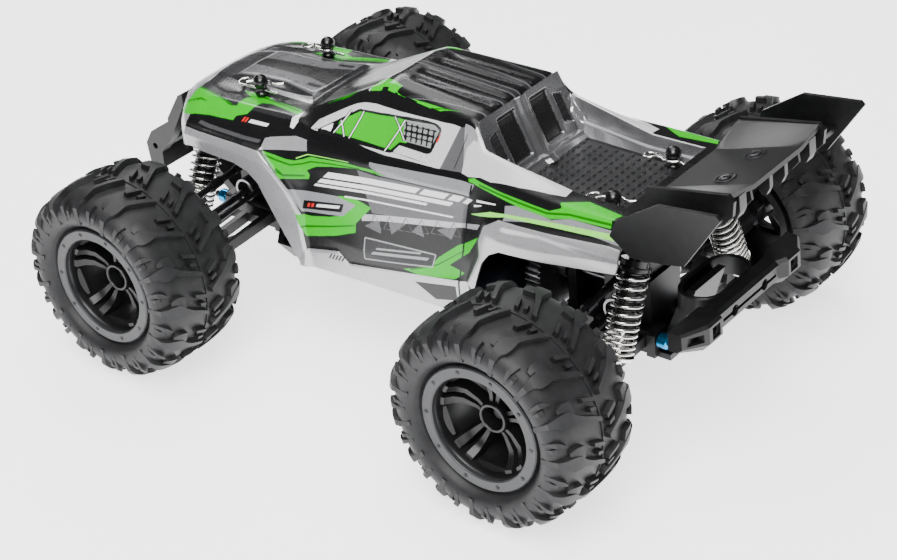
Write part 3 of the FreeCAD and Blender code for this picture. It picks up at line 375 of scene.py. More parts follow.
# ---- wheels -------------------------------------------------------------------------------
def turned(points, degrees):
    a = math.radians(degrees)
    return [(x * math.cos(a) + z * math.sin(a), y, z * math.cos(a) - x * math.sin(a)) for x, y, z in points]


def loft_bar(sections, build, degrees):
    """Closed bar through four-cornered sections, turned about the wheel's axis."""
    build.solid([turned(section, degrees) for section in sections])


def disc_y(build, r, y0, y1, steps, at=(0, 0), slot=0, r1=None):
    """Closed round plug along Y centred on (x, z)."""
    r1 = r if r1 is None else r1
    rings = [[(at[0] + q * math.sin(2 * math.pi * i / steps), y,
               at[1] + q * math.cos(2 * math.pi * i / steps))
              for i in range(steps)] for q, y in ((r, y0), (r1, y1))]
    build.solid(rings, slot)


SPOKE_PAIRS = 5
RING_SCREWS = 10
RING_SCREW_R = 23.85


def rim_build():
    """Rim in slot 0, bead-lock ring in slot 1, screws in slot 2."""
    build = Build()
    barrel = [(22.3, 69.5), (25.5, 69.5), (25.6, 71.0), (24.0, 72.2), (24.0, 105.6), (23.4, 107.2),
              (21.5, 107.2),
              (21.4, 104.6), (20.9, 103.6), (20.6, 100.0), (20.3, 92.0), (21.2, 80.0)]
    build.lathe_y(barrel, 90)
    ring = [(21.4, 107.2), (21.4, 108.9), (21.9, 109.4), (25.6, 109.4), (26.15, 108.9), (26.2, 107.2)]
    build.lathe_y(ring, 100, slot=1)
    lip = [(20.7, 103.4), (20.7, 106.2), (21.5, 107.4), (21.5, 103.0)]
    build.lathe_y(lip, 90)
    hub = [(4.6, 96.0), (4.6, 100.1), (5.0, 100.6), (5.9, 100.6), (6.4, 99.8), (6.9, 92.0), (6.9, 84.0),
           (2.6, 84.0),
           (2.6, 93.0), (4.6, 93.0)]
    build.lathe_y(hub, 16)
    for pair in range(SPOKE_PAIRS):
        for lean in (-12.0, 12.0):
            inner = 0.55 if lean < 0 else -0.55
            sections = []
            for r, half, top, low in ((5.2, 1.15, 98.9, 93.5), (9.0, 1.35, 98.3, 93.4),
                                      (14.5, 1.9, 98.9, 94.2),
                                      (17.6, 2.5, 101.2, 95.8), (19.4, 2.7, 104.4, 98.0),
                                      (21.2, 2.8, 105.0, 99.0)):
                shift = inner * (r - 5.0) / 8.0
                sections.append([(shift - half, low, r), (shift - half * 0.62, top, r),
                                 (shift + half * 0.62, top, r),
                                 (shift + half, low, r)])
            loft_bar(sections, build, pair * 72 + lean)
        plate = [[(-6.2, y, r), (-6.0, y + 1.0, r), (6.0, y + 1.0, r), (6.2, y, r)] for r,
                 y in ((19.0, 101.5), (21.0, 103.5))]
        loft_bar(plate, build, pair * 72 + 36)
    for i in range(RING_SCREWS):
        a = math.radians(36 * i + 18)
        at = (RING_SCREW_R * math.sin(a), RING_SCREW_R * math.cos(a))
        disc_y(build, 0.95, 109.3, 109.5, 16, at, slot=0)
        disc_y(build, 0.72, 109.45, 109.75, 12, at, slot=2, r1=0.6)
        disc_y(build, 0.3, 109.7, 109.8, 6, at, slot=0)
    disc_y(build, 2.0, 92.0, 96.8, 20, slot=2)
    disc_y(build, 3.6, 92.1, 95.6, 6, slot=2)
    disc_y(build, 2.5, 68.5, 92.0, 20, slot=2)
    disc_y(build, 6.9, 78.8, 83.9, 6, slot=2)
    cup = [(5.2, 59.6), (5.2, 68.8), (0.5, 68.8), (0.5, 67.4), (4.2, 67.4), (4.2, 59.6)]
    build.lathe_y(cup, 28, slot=2)
    return build


def make_wheels():
    tyre, rim = tyre_build(), rim_build()
    for corner in CORNERS:
        body = "wheel_" + corner
        look = placed(tyre, corner).object("tyre_look_" + corner, [RUBBER], 28.0)
        add_piece(look, body, ["tyre_" + corner])
        look = placed(rim, corner).object("rim_look_" + corner, [RIM_BLACK, RING_GREY, DARK_STEEL], 30.0)
        bevelled(look, 0.12, 1, 40.0)
        add_piece(look, body, ["wheel_rim_" + corner])


make_wheels()


# ---- plain CAD nodes with rounded edges ----------------------------------------------------
def paint(node, material):
    mesh = frame["nodes"][node].data
    mesh.materials.clear()
    mesh.materials.append(material)


for node in frame["nodes"]:
    if node.startswith(("lower_arm", "caster_block", "rear_hub_carrier", "steering_knuckle")):
        rounded_copy(node, NYLON, 0.3)
    elif node.startswith(("camber_link", "tie_rod", "drive_shaft")):
        paint(node, DARK_STEEL)
    elif node.startswith("shock_rod"):
        paint(node, CHROME)
    elif node.startswith("shock_body"):
        rounded_copy(node, GLOSS_BLACK, 0.2)
for node in ("chassis_tub", "gearbox_housings", "shock_towers", "front_bumper", "steering_servo"):
    rounded_copy(node, NYLON, 0.4)
rounded_copy("rear_wing", WING_BLACK, 0.35)
paint("drive_motor", STEEL)
paint("battery_pack", SLEEVE_DARK)
paint("control_unit", GLOSS_BLACK)
paint("power_switch", RED_PLASTIC)
paint("steering_rack", NYLON)
paint("servo_horn", WHITE_NYLON)
for node in ("differential_front", "differential_rear", "centre_shaft", "motor_pinion"):
    paint(node, STEEL)


# ---- shock absorbers -----------------------------------------------------------------------
JOINTS = {joint["name"]: joint for joint in frame["record"]["behaviour"]["joints"]}
EYE_GAP = {"f": 48.4, "r": 49.5}
SPRING_FROM = 8.2
CUP_DROP = 7.5
COIL_R = 6.05
COIL_WIRE = 0.65
COIL_TURNS = 11
THREAD_PITCH = 1.3


def shock_axis(corner):
    """Top eye, direction down the damper and two directions across it, in millimetres."""
    eye = Vector(JOINTS["shock_pivot_" + corner]["pos_m"]) / MM
    down = Vector(JOINTS["shock_travel_" + corner]["axis"]).normalized()
    across = Vector((1, 0, 0))
    return eye, down, across, down.cross(across)


def ring_at(axis, along, r, steps):
    eye, down, across, other = axis
    centre = eye + down * along
    return [centre + across * (r * math.cos(2 * math.pi * i / steps))
            + other * (r * math.sin(2 * math.pi * i / steps))
            for i in range(steps)]


def make_spring(corner):
    """Progressive coil spring round its shock: its lower turns lie closer together."""
    axis = shock_axis(corner)
    eye, down, across, other = axis
    start = SPRING_FROM + COIL_WIRE
    stop = EYE_GAP[corner[0]] - CUP_DROP - COIL_WIRE
    rows = []
    steps = 26 * COIL_TURNS
    for i in range(steps + 1):
        turn = COIL_TURNS * i / steps
        share = i / steps
        share += 0.085 * math.sin(math.pi * share)
        angle = 2 * math.pi * turn
        out = across * math.cos(angle) + other * math.sin(angle)
        centre = eye + down * (start + (stop - start) * share) + out * COIL_R
        rows.append([centre + out * (COIL_WIRE * math.cos(a)) + down * (COIL_WIRE * math.sin(a))
                     for a in (math.pi / 4 * k for k in range(8))])
    build = Build()
    build.solid(rows)
    coil = build.object("spring_look_" + corner, [CHROME], 60.0)
    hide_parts("shock_spring_" + corner)
    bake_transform(coil)


def make_thread(corner):
    """Threaded sleeve on the damper."""
    axis = shock_axis(corner)
    build = Build()
    profile = []
    along = 9.0
    while along < 30.5:
        profile += [(4.72, along), (4.95, along + 0.25 * THREAD_PITCH), (4.95, along + 0.6 * THREAD_PITCH)]
        along += THREAD_PITCH
    profile += [(4.72, along), (4.3, along), (4.3, 9.0)]
    rows = [ring_at(axis, at, r, 36) for r, at in profile]
    build.grid(rows, close_u=True, close_v=True)
    add_piece(build.object("shock_thread_" + corner, [GLOSS_BLACK], 30.0), "shock_body_" + corner, [])


# ---- hinge pins, collars and screws ---------------------------------------------------------
def turned_bar(build, start, direction, profile, steps, slot=0):
    """Closed turned piece along a direction. Profile points are (distance along, radius)."""
    start, direction = Vector(start), Vector(direction).normalized()
    across = direction.orthogonal().normalized()
    other = direction.cross(across)
    rings = [[start + direction * at + across * (r * math.cos(2 * math.pi * i / steps))
              + other * (r * math.sin(2 * math.pi * i / steps)) for i in range(steps)] for at, r in profile]
    build.solid(rings, slot)


WING_FRONT = (-113.0, 107.8)
WING_REAR = (-150.5, 119.1)
WING_RAKE = math.atan2(WING_REAR[1] - WING_FRONT[1], WING_FRONT[0] - WING_REAR[0])
WING_SCREW = (-134.7, 10.7)


def wing_top(x):
    """Height of the plank's upper face at x."""
    return WING_FRONT[1] + (WING_FRONT[0] - x) * math.tan(WING_RAKE)


PIN_HALF = 16.8
PIN_Y = 14.0
PIN_Z = 37.0


def make_pins():
    """Hinge pins in slot 0, bright collars at their ends in slot 1."""
    build = Build()
    for corner, out in (("fl", 1), ("rl", -1)):
        x_axle = CORNERS[corner][0]
        for side in (1, -1):
            y, z = PIN_Y * side, PIN_Z
            turned_bar(build, (x_axle - PIN_HALF, y, z), (1, 0, 0), [(0, 1.25), (2 * PIN_HALF, 1.25)], 20)
            end = (x_axle + out * PIN_HALF, y, z)
            turned_bar(build, end, (out, 0, 0),
                       [(0, 2.7), (0.5, 3.15), (4.1, 3.15), (4.6, 2.7), (4.65, 1.7)], 40, 1)
            turned_bar(build, end, (out, 0, 0), [(4.5, 1.5), (7.4, 1.5), (7.8, 1.2)], 20)
    for side in (1, -1):
        x, y = WING_SCREW
        up = (math.sin(WING_RAKE), 0, math.cos(WING_RAKE))
        at = (x, y * side, wing_top(x))
        turned_bar(build, at, up,
                   [(-6.0, 1.4), (-0.1, 1.4), (0, 2.3), (0.35, 2.3), (0.6, 1.8), (0.62, 0.9), (0.2, 0.8)], 28)
    add_piece(build.object("hinge_pins_and_collars", [DARK_STEEL, BLUE_METAL], 35.0), "chassis",
              ["pins_and_screws"])


# ---- rear bumper ----------------------------------------------------------------------------
def box_into(mesh, low, high):
    made = bmesh.ops.create_cube(mesh, size=1.0)["verts"]
    for vert in made:
        vert.co = Vector([(a + b) / 2 + c * (b - a) for a, b, c in zip(low, high, vert.co)]) * MM


def cut_with(obj, cutters):
    """Cuts boxes and round holes from a piece. A box is (low, high), a hole (start, radius, length) along X."""
    mesh = bmesh.new()
    for cutter in cutters:
        if len(cutter) == 2:
            box_into(mesh, *cutter)
        else:
            (x, y, z), r, length = cutter
            made = bmesh.ops.create_cone(mesh, cap_ends=True, segments=24, radius1=r * MM, radius2=r * MM,
                                         depth=length * MM)["verts"]
            for vert in made:
                a, b, c = vert.co
                vert.co = Vector((c + (x + length / 2) * MM, b + y * MM, a + z * MM))
    bmesh.ops.recalc_face_normals(mesh, faces=mesh.faces)
    data = bpy.data.meshes.new("cutter")
    mesh.to_mesh(data)
    mesh.free()
    tool = bpy.data.objects.new("cutter", data)
    bpy.context.collection.objects.link(tool)
    modifier = obj.modifiers.new("cut", "BOOLEAN")
    modifier.operation = "DIFFERENCE"
    modifier.solver = "EXACT"
    modifier.use_self = True
    modifier.object = tool
    apply_modifiers(obj)
    bpy.data.objects.remove(tool)


# Bar sections at |y|, as (x, z) round from its front bottom edge.
BAR_MIDDLE = [(-132.0, 53.2), (-136.4, 53.2), (-139.1, 56.2), (-138.9, 62.4), (-137.4, 63.8), (-132.0, 63.8)]
BAR_BLOCK = [(-131.0, 53.2), (-138.8, 53.4), (-141.9, 56.8), (-141.6, 63.8), (-140.4, 65.0), (-131.0, 65.0)]
BAR_END = [(-129.7, 55.6), (-133.8, 55.8), (-135.9, 57.6), (-135.6, 62.8), (-134.6, 63.8), (-129.7, 63.8)]
BAR_STATIONS = [(43.5, BAR_END), (33.5, BAR_BLOCK), (24.5, BAR_BLOCK), (21.5, BAR_MIDDLE)]


def rear_bar():
    build = Build()
    stations = BAR_STATIONS + [(-y, section) for y, section in reversed(BAR_STATIONS)]
    build.solid([[(x, y, z) for x, z in section] for y, section in stations])
    obj = build.object("rear_bumper_bar", [NYLON])
    cutters = [((-145, -19.5, 58.2), (-138.2, 19.5, 59.6))]
    for side in (1, -1):
        cutters.append(((-146, 10.9 * side, 59.0), 2.3, 12))
        low, high = sorted((side * 26.0, side * 31.4))
        cutters.append(((-146, low, 57.6), (-140.7, high, 62.8)))
        cutters.append(((-146, 28.7 * side, 60.2), 1.9, 12))
        low, high = sorted((side * 35.4, side * 41.6))
        cutters.append(((-146, low, 58.4), (-136.9, high, 61.8)))
    cut_with(obj, cutters)
    return bevelled(obj, 0.35, 2, 25.0)


def rear_hoop():
    """Oval hoop with a sloping plate inside it and the foot that ties it to the chassis."""
    build = Build()
    outer, inner, low, high = 9.5, 7.6, 55.5, 64.0
    centre_x, half = -123.5, 9.0
    rows = []
    for i in range(72):
        a = 2 * math.pi * i / 72
        y0 = half if math.sin(a) >= 0 else -half
        section = [(inner, low), (outer, low), (outer, high - 0.6), (outer - 0.5, high), (inner + 0.5, high),
                   (inner, high - 0.6)]
        rows.append([(centre_x - r * math.cos(a), y0 + r * math.sin(a), z) for r, z in section])
    build.grid(rows, close_u=True, close_v=True)
    plate = [(-105, 32), (-112, 32), (-119.4, 55.6), (-121.6, 62.0), (-118.2, 62.0), (-114.6, 56.0)]
    build.solid([[(x, y, z) for x, z in plate] for y in (-11, 11)])
    return build.object("rear_bumper_hoop", [NYLON], 30.0)


# ---- ball caps over the body posts ----------------------------------------------------------
CAP_R = 3.3
CAPS = [(86.0, 21.8, 106.3), (-92.0, 21.0, 99.0)]


def make_caps():
    build = Build()
    profile = [(CAP_R - CAP_R * math.cos(math.pi * k / 14),
                CAP_R * math.sin(math.pi * k / 14)) for k in range(1, 14)]
    for x, y, z in CAPS:
        for side in (1, -1):
            turned_bar(build, (x, side * y, z - CAP_R), (0, 0, 1), profile, 28)
            turned_bar(build, (x, side * y, z - 5.6), (0, 0, 1),
                       [(0, 2.7), (1.0, 3.0), (1.6, 2.4), (3.0, 2.3)], 28)
    add_piece(build.object("post_ball_caps", [GLOSS_BLACK], 60.0), "chassis", [])


# ---- spring clips through the body posts -----------------------------------------------------
CLIP_WIRE = 0.55
CLIP_DROP = 4.2
POST_HOLES = [(86.0, 21.8, 107.0 - CLIP_DROP), (-92.0, 21.0, 99.7 - CLIP_DROP)]
RING_AT = (10.2, 1.2)
RING_R = 2.7


def clip_line():
    """Middle line of a bent wire clip, lying flat: straight leg, ring and the leg that snaps round the post."""
    ring = [(RING_AT[0] + RING_R * math.sin(a), RING_AT[1] - RING_R * math.cos(a))
            for a in (math.pi * k / 8 for k in range(15))]
    snap = [(5.4, 2.6), (3.6, 2.9), (2.2, 4.0), (0.0, 4.5), (-2.2, 3.9), (-3.8, 2.6), (-6.0, 3.2),
            (-8.4, 5.0)]
    return smooth_line([(-9.0, 0.0), (0.0, 0.0), (7.0, -0.6)] + ring + snap, 2)


def wire_along(build, points, r):
    """Round wire along a line of points that lie in a nearly level plane."""
    up = Vector((0, 0, 1))
    rows = []
    for i, point in enumerate(points):
        before, after = points[max(i - 1, 0)], points[min(i + 1, len(points) - 1)]
        along = (Vector(after) - Vector(before)).normalized()
        out = along.cross(up)
        rows.append([Vector(point) + out * (r * math.cos(a)) + up * (r * math.sin(a))
                     for a in (math.pi / 4 * k for k in range(8))])
    build.solid(rows)


def make_clips():
    build = Build()
    line = clip_line()
    rise = 2.4 / len(line)
    for x, y, z in POST_HOLES:
        for side in (1, -1):
            wire_along(build, [(x + a, side * (y - b), z + rise * i) for i, (a, b) in enumerate(line)],
                       CLIP_WIRE)
    add_piece(build.object("body_clip_wires", [CHROME], 50.0), BODY_OF["body_clips"], ["body_clips"])


# ---- small parts of the wing ----------------------------------------------------------------
def make_wing_details():
    """Recess rings and hanging tabs under the trailing edge."""
    build = Build()
    up = (math.sin(WING_RAKE), 0, math.cos(WING_RAKE))
    for side in (1, -1):
        x, y = WING_SCREW
        ring = [(0.02, 4.6), (0.32, 4.4), (0.32, 3.6), (0.05, 3.3)]
        turned_bar(build, (x, y * side, wing_top(x)), up, ring, 40)
        for low, high in ((4.2, 6.6), (22.6, 27.4)):
            y0, y1 = sorted((side * low, side * high))
            profile = [(-150.6, wing_top(-150.0)), (-148.0, wing_top(-148.6) - 0.4), (-146.2, 110.4),
                       (-147.6, 108.8),
                       (-149.6, 109.4), (-151.0, 112.6)]
            build.solid([[(x, y, z) for x, z in profile] for y in (y0, y1)])
    add_piece(bevelled(build.object("wing_fittings", [WING_BLACK], 35.0), 0.25, 2, 35.0), "chassis", [])


for corner in CORNERS:
    make_spring(corner)
    make_thread(corner)
make_pins()
add_piece(rear_bar(), "chassis", ["rear_bumper"])
add_piece(rear_hoop(), "chassis", [])
make_caps()
make_clips()
make_wing_details()


# ---- body shell ---------------------------------------------------------------------------
# Half sections of the shell as (y, z), front to rear: crown, panel line, roof or hood edge, shoulder,
# waist, flare top, flare edge, lower side and sill.
STATIONS = [
    (126.0, [(0, 97.0), (7, 96.9), (14, 96.6), (21, 96.0), (26, 94.6), (29, 91.5), (30.2, 87.0), (31, 81.0),
             (32, 70.0)]),
    (121.0, [(0, 99.3), (8, 99.1), (17, 98.6), (26.5, 97.3), (32.5, 94.0), (36, 90.5), (38, 86.5), (38.5, 82),
             (38.5, 60.0)]),
    (113.0,
     [(0, 100.8), (12, 100.4), (20, 99.8), (31, 98.2), (38, 93.6), (43.0, 89.2), (45, 86.0), (45, 84.0),
             (44, 50.0)]),
    (100.0,
     [(0, 102.0), (15, 101.6), (22, 99.8), (32, 99.5), (40, 94.0), (45.5, 89.5), (47, 86.5), (47, 84.0),
             (46, 40.0)]),
    (78.0,
     [(0, 103.0), (15, 102.6), (22, 99.6), (32, 100.5), (40, 94.5), (45.5, 89.5), (47, 86.0), (47, 83.0),
            (46, 39.0)]),
    (66.0,
     [(0, 103.8), (15, 103.4), (23, 101.2), (32, 100.8), (39.5, 94.3), (45, 88.5), (46.5, 84.0), (46.5, 75.0),
            (45.5, 39.0)]),
    (56.0,
     [(0, 104.5), (15, 104.2), (24, 102.4), (33, 101.0), (38.5, 94.3), (43, 86.0), (45, 79.0), (45.5, 60.0),
            (44, 39.0)]),
    (47.0,
     [(0, 109.0), (14, 108.6), (23.2, 107.0), (34.5, 98.5), (37.5, 93.5), (41, 84.0), (43, 76.0), (45, 58.0),
            (43.5, 39.0)]),
    (16.0, [(0, 123.0), (13, 122.8), (21, 121.3), (34.8, 97.0), (37.2, 92.3), (38.5, 86.0), (41.5, 74.0),
            (45, 56.0), (43.5, 40.0)]),
    (-33.0, [(0, 120.2), (14, 119.9), (26.8, 118.4), (35.2, 96.0), (37.5, 91.0), (38.8, 85.0), (41.5, 74.0),
             (45, 56.0), (43.5, 41.0)]),
    (-38.5,
     [(0, 110.0), (14, 109.8), (30.0, 109.2), (35.8, 100.0), (38, 93.5), (40.5, 86.0), (43, 76.0), (45, 58.0),
             (43.5, 41.0)]),
    (-50.0, [(0, 107.0), (20, 107.0), (29.8, 106.8), (36.8, 100.3), (38.8, 95.0), (43, 88.0), (46, 82.0),
             (46.5, 72.0), (45, 41.0)]),
    (-79.0,
     [(0, 101.4), (20, 101.4), (29.7, 101.2), (37.4, 100.6), (41, 94.5), (45.5, 88.5), (48, 82.0), (48, 80.0),
             (46, 41.0)]),
    (-110.0, [(0, 101.0), (20, 101.0), (30.0, 101.0), (37.0, 100.6), (41, 95.5), (44.5, 90.0), (46.5, 84.5),
              (46.5, 80.0), (45, 41.0)]),
]
KEY_STEPS = (18, 11, 14, 9, 10, 8, 14, 28)
BODY_STEP = 0.8
SHELL_T = 0.9
NOSE_MID_Z = 87.0
TOP, SIDE = "top", "side"
# Openings: the arches as (x, z) in the side drawing, the bed as (x, |y|) in the top drawing.
FRONT_ARCH = [(52.5, 30), (52.5, 40), (69, 74.5), (74.5, 79), (81, 81), (106, 82.3), (112, 81),
              (118, 77.5), (123, 73.5),
              (130, 72.5), (130, 30)]
REAR_ARCH = [(-36.5, 30), (-36.5, 41), (-40.8, 54), (-46.9, 70.1), (-51, 75.2), (-56.2, 78.1), (-66.2, 79.2),
             (-85.2, 81.7), (-102.8, 83.5), (-115, 85.2), (-115, 30)]
BED_EDGE = [(-33.6, -1), (-33.6, 26.2), (-38.5, 29.0), (-50, 28.8), (-75, 27.6), (-102.5, 28.2), (-102.5, -1)]
# Where the side drawing takes over from the top drawing, as |y| along x.
CHART_X = [-112, -46, -40, -33, 16, 47, 55, 60, 127]
CHART_Y = [37.2, 36.8, 33.0, 27.2, 21.6, 23.6, 24.6, 33.5, 33.5]


def signed(a, b, polygon):
    """Distance inside a polygon, negative outside, for points (a, b) in millimetres."""
    out = np.full(a.shape, -9.0)
    corners = np.array(polygon, float)
    low, high = corners.min(axis=0) - 3.0, corners.max(axis=0) + 3.0
    near = (a > low[0]) & (a < high[0]) & (b > low[1]) & (b < high[1])
    pa, pb = a[near], b[near]
    best = np.full(pa.shape, 81.0)
    inside = np.zeros(pa.shape, bool)
    for (x0, y0), (x1, y1) in zip(corners, np.roll(corners, -1, axis=0)):
        dx, dy = x1 - x0, y1 - y0
        t = np.clip(((pa - x0) * dx + (pb - y0) * dy) / max(dx * dx + dy * dy, 1e-9), 0, 1)
        best = np.minimum(best, (pa - x0 - t * dx) ** 2 + (pb - y0 - t * dy) ** 2)
        if y0 != y1:
            inside ^= ((y0 > pb) != (y1 > pb)) & (pa < (pb - y0) * dx / dy + x0)
    out[near] = np.where(inside, 1, -1) * np.sqrt(best)
    return out


def band(points, width, end=None):
    """Outline of a stripe that follows points, tapering from width to end."""
    end = width if end is None else end
    left, right = [], []
    for i, (a, b) in enumerate(points):
        p, q = points[max(i - 1, 0)], points[min(i + 1, len(points) - 1)]
        size = math.hypot(q[0] - p[0], q[1] - p[1])
        half = 0.5 * (width + (end - width) * i / (len(points) - 1))
        nx, ny = -(q[1] - p[1]) / size * half, (q[0] - p[0]) / size * half
        left.append((a + nx, b + ny))
        right.append((a - nx, b - ny))
    return left + right[::-1]


def rings(polygon, width):
    """Thin line round a polygon, as one stripe for each side."""
    return [band([p, q], width) for p, q in zip(polygon, polygon[1:] + polygon[:1])]


def bars(start, end, low, high, widths, gap, slant):
    """Row of slanted stripes from start to end, between two heights over the line that joins them."""
    size = math.hypot(end[0] - start[0], end[1] - start[1])
    ux, uy = (end[0] - start[0]) / size, (end[1] - start[1]) / size
    scale = size / (sum(widths) + gap * (len(widths) - 1))
    out, at = [], 0.0
    for width in widths:
        shape = []
        for along, up in ((at, low), (at + width, low), (at + width, high), (at, high)):
            s = along * scale + slant * up
            shape.append((start[0] + ux * s, start[1] + uy * s + up))
        out.append(shape)
        at += width + gap
    return out


# Raised and sunk areas: chart, outline, height, width of the slope.
HOOD_PANEL = [(107.5, -1), (107.5, 13.8), (92.7, 12.6), (80.1, 12.6), (60.4, 18.0), (58.6, 12.0), (58.0, -1)]
WINDOW_FRAME = [(48.3, 99.1), (46.4, 102), (33.1, 109.3), (29.2, 111.2), (25, 112.6), (19.4, 113.6),
                (6.2, 113.7),
                (-9.7, 114.4), (-22.6, 115.4), (-25.7, 115.2), (-19.1, 98.2), (-6.6, 98), (8.6, 97.3),
                (45.6, 98.9)]
PANE = [(44.6, 99.1), (37.1, 103.3), (27, 109.5), (8.1, 111.5), (-7.4, 113.1), (-13.7, 113.1), (-16.5, 112.3),
        (-13.3, 103.2), (-11.5, 102.4), (2.7, 102.6), (6.1, 99.0), (20, 98.6)]
FRONT_BAND = [(112, 89.2), (99.3, 89.9), (78.9, 89.6), (68.2, 88.8), (63.8, 85.1), (57.7, 78.2), (54.3, 74.2),
              (48.8, 64.3), (47.6, 36), (66, 36), (80, 70), (112, 76)]
REAR_FLARE = [(-44.6, 78.7), (-47, 85.3), (-53.9, 89.5), (-63.8, 90), (-104.7, 93), (-113, 92.6), (-113, 78),
              (-75, 76), (-57, 72), (-46, 50), (-37.7, 57.3), (-45.1, 72.4)]
RELIEF = [
    (TOP, HOOD_PANEL, 1.2, 2.8),
    (TOP, [(121, 12.9), (98.5, 16.6), (96, 24.6), (103.5, 26), (119, 21)], -0.5, 1.6),
    (TOP, [(54.0, -1), (54.0, 22.6), (21.5, 18.6), (21.5, -1)], -0.45, 1.8),
    (TOP, band([(10, 5.2), (-31, 6.0)], 2.6), -0.7, 2.6),
    (TOP, band([(9, 12.2), (-31, 13.8)], 2.6), -0.7, 2.6),
    (SIDE, FRONT_BAND, 1.5, 2.2),
    (SIDE, REAR_FLARE, 1.2, 2.2),
    (SIDE, band([(-55.8, 84.9), (-75, 87.6), (-112, 86.8)], 2.6), -0.7, 1.8),
    (SIDE, WINDOW_FRAME, 0.5, 0.9),
    (SIDE, PANE, -1.0, 0.8),
    (SIDE, [(15.4, 93.3), (10.2, 95.0), (-35.5, 97.6), (-35.5, 92.1), (-25.4, 91.5), (11, 89.3)], 0.7, 1.4),
    (SIDE, [(47.5, 47.7), (30.2, 51.5), (25.2, 46.9), (-35.5, 57.8), (-35.5, 36), (54, 36)], 0.6, 1.6),
]


def smoothed(values, rounds, axis):
    """Repeated three-point mean along an axis, with the ends held."""
    values = np.moveaxis(values, axis, 0).copy()
    for _ in range(rounds):
        values[1:-1] = 0.25 * values[:-2] + 0.5 * values[1:-1] + 0.25 * values[2:]
    return np.moveaxis(values, 0, axis)


def shell_half():
    """Grid of points of the left half, rows along x from the rear and columns from crown to sill."""
    stations = STATIONS[::-1]
    xs = np.array([x for x, _ in stations])
    keys = np.array([points for _, points in stations], float)
    rows = np.linspace(xs[0], xs[-1], int((xs[-1] - xs[0]) / BODY_STEP) + 1)
    u = np.concatenate([k + np.arange(n) / n for k, n in enumerate(KEY_STEPS)] + [[len(KEY_STEPS)]])
    grid = np.zeros((len(rows), len(u), 3))
    grid[:, :, 0] = rows[:, None]
    for axis in (0, 1):
        along = np.array([np.interp(rows, xs, keys[:, k, axis]) for k in range(keys.shape[1])])
        along = smoothed(along, 9, 1)
        across = np.array([np.interp(u, np.arange(len(along)), column) for column in along.T])
        grid[:, :, axis + 1] = smoothed(across, 3, 1)
    return grid


def drawing_point(points, chart):
    return (points[..., 0], np.abs(points[..., 1])) if chart == TOP else (points[..., 0], points[..., 2])


def is_top(x, y):
    return np.abs(y) < np.interp(x, CHART_X, CHART_Y)


def shell_grid():
    """Whole grid of the shell with its raised and sunk areas."""
    half = shell_half()
    mirror = half[:, :0:-1] * (1, -1, 1)
    grid = np.concatenate([mirror, half], axis=1)
    du, dv = np.gradient(grid, axis=0), np.gradient(grid, axis=1)
    normal = np.cross(du, dv)
    normal /= np.linalg.norm(normal, axis=2, keepdims=True) + 1e-12
    normal *= np.sign(normal[:, grid.shape[1] // 2, 2].mean())
    top = is_top(grid[..., 0], grid[..., 1])
    height = np.zeros(top.shape)
    for chart, outline, rise, slope in RELIEF:
        t = np.clip(signed(*drawing_point(grid, chart), outline) / slope + 0.5, 0, 1)
        height += np.where(top == (chart == TOP), rise * t * t * (3 - 2 * t), 0)
    return grid + normal * smoothed(smoothed(height, 1, 0), 1, 1)[..., None]


def nearest_on(polygon, a, b):
    """Nearest point of a closed polygon to (a, b)."""
    best = None
    for (x0, y0), (x1, y1) in zip(polygon, polygon[1:] + polygon[:1]):
        dx, dy = x1 - x0, y1 - y0
        t = min(max(((a - x0) * dx + (b - y0) * dy) / (dx * dx + dy * dy), 0), 1)
        p = (x0 + t * dx, y0 + t * dy)
        gap = math.hypot(a - p[0], b - p[1])
        if best is None or gap < best[0]:
            best = (gap, p)
    return best[1]


def cut_openings(points, faces):
    """Drops the faces inside the arches and the bed and moves the new edges onto the outlines."""
    centre = points[faces].mean(axis=1)
    top = is_top(centre[:, 0], centre[:, 1])
    for chart, outline in ((SIDE, FRONT_ARCH), (SIDE, REAR_ARCH), (TOP, BED_EDGE)):
        inside = (signed(*drawing_point(centre, chart), outline) > 0)
        inside &= top if chart == TOP else ~top
        edge = np.intersect1d(faces[inside].ravel(), faces[~inside].ravel())
        for i in edge:
            x, y, z = points[i]
            side = math.copysign(1, y)
            if chart == TOP:
                if abs(y) > 0.5:
                    a, b = nearest_on(outline, x, abs(y))
                    points[i] = (a, side * b, z)
                else:
                    points[i, 0] = nearest_on(outline, x, abs(y))[0]
            else:
                a, b = nearest_on(outline, x, z)
                points[i] = (a, y, b)
        faces, centre, top = faces[~inside], centre[~inside], top[~inside]
    return points, faces


def shell_mesh():
    """Points and faces of the shell's outer skin, with its nose closed and its openings cut."""
    grid = shell_grid()
    nose = grid[-1].copy()
    caps = []
    for scale, x in ((0.96, 126.5), (0.6, 126.9), (0.02, 127.0)):
        cap = nose.copy()
        cap[:, 0] = x
        cap[:, 1] *= scale
        cap[:, 2] = NOSE_MID_Z + (nose[:, 2] - NOSE_MID_Z) * scale
        caps.append(cap)
    grid = np.concatenate([grid, np.array(caps)], axis=0)
    rows, columns = grid.shape[:2]
    index = np.arange(rows * columns).reshape(rows, columns)
    a, b, c, d = index[:-1, :-1], index[1:, :-1], index[1:, 1:], index[:-1, 1:]
    faces = np.stack([a, b, c, d], axis=-1).reshape(-1, 4)
    points, faces = cut_openings(grid.reshape(-1, 3), faces)
    used = np.unique(faces)
    renumber = np.full(len(points), -1)
    renumber[used] = np.arange(len(used))
    return points[used], renumber[faces]


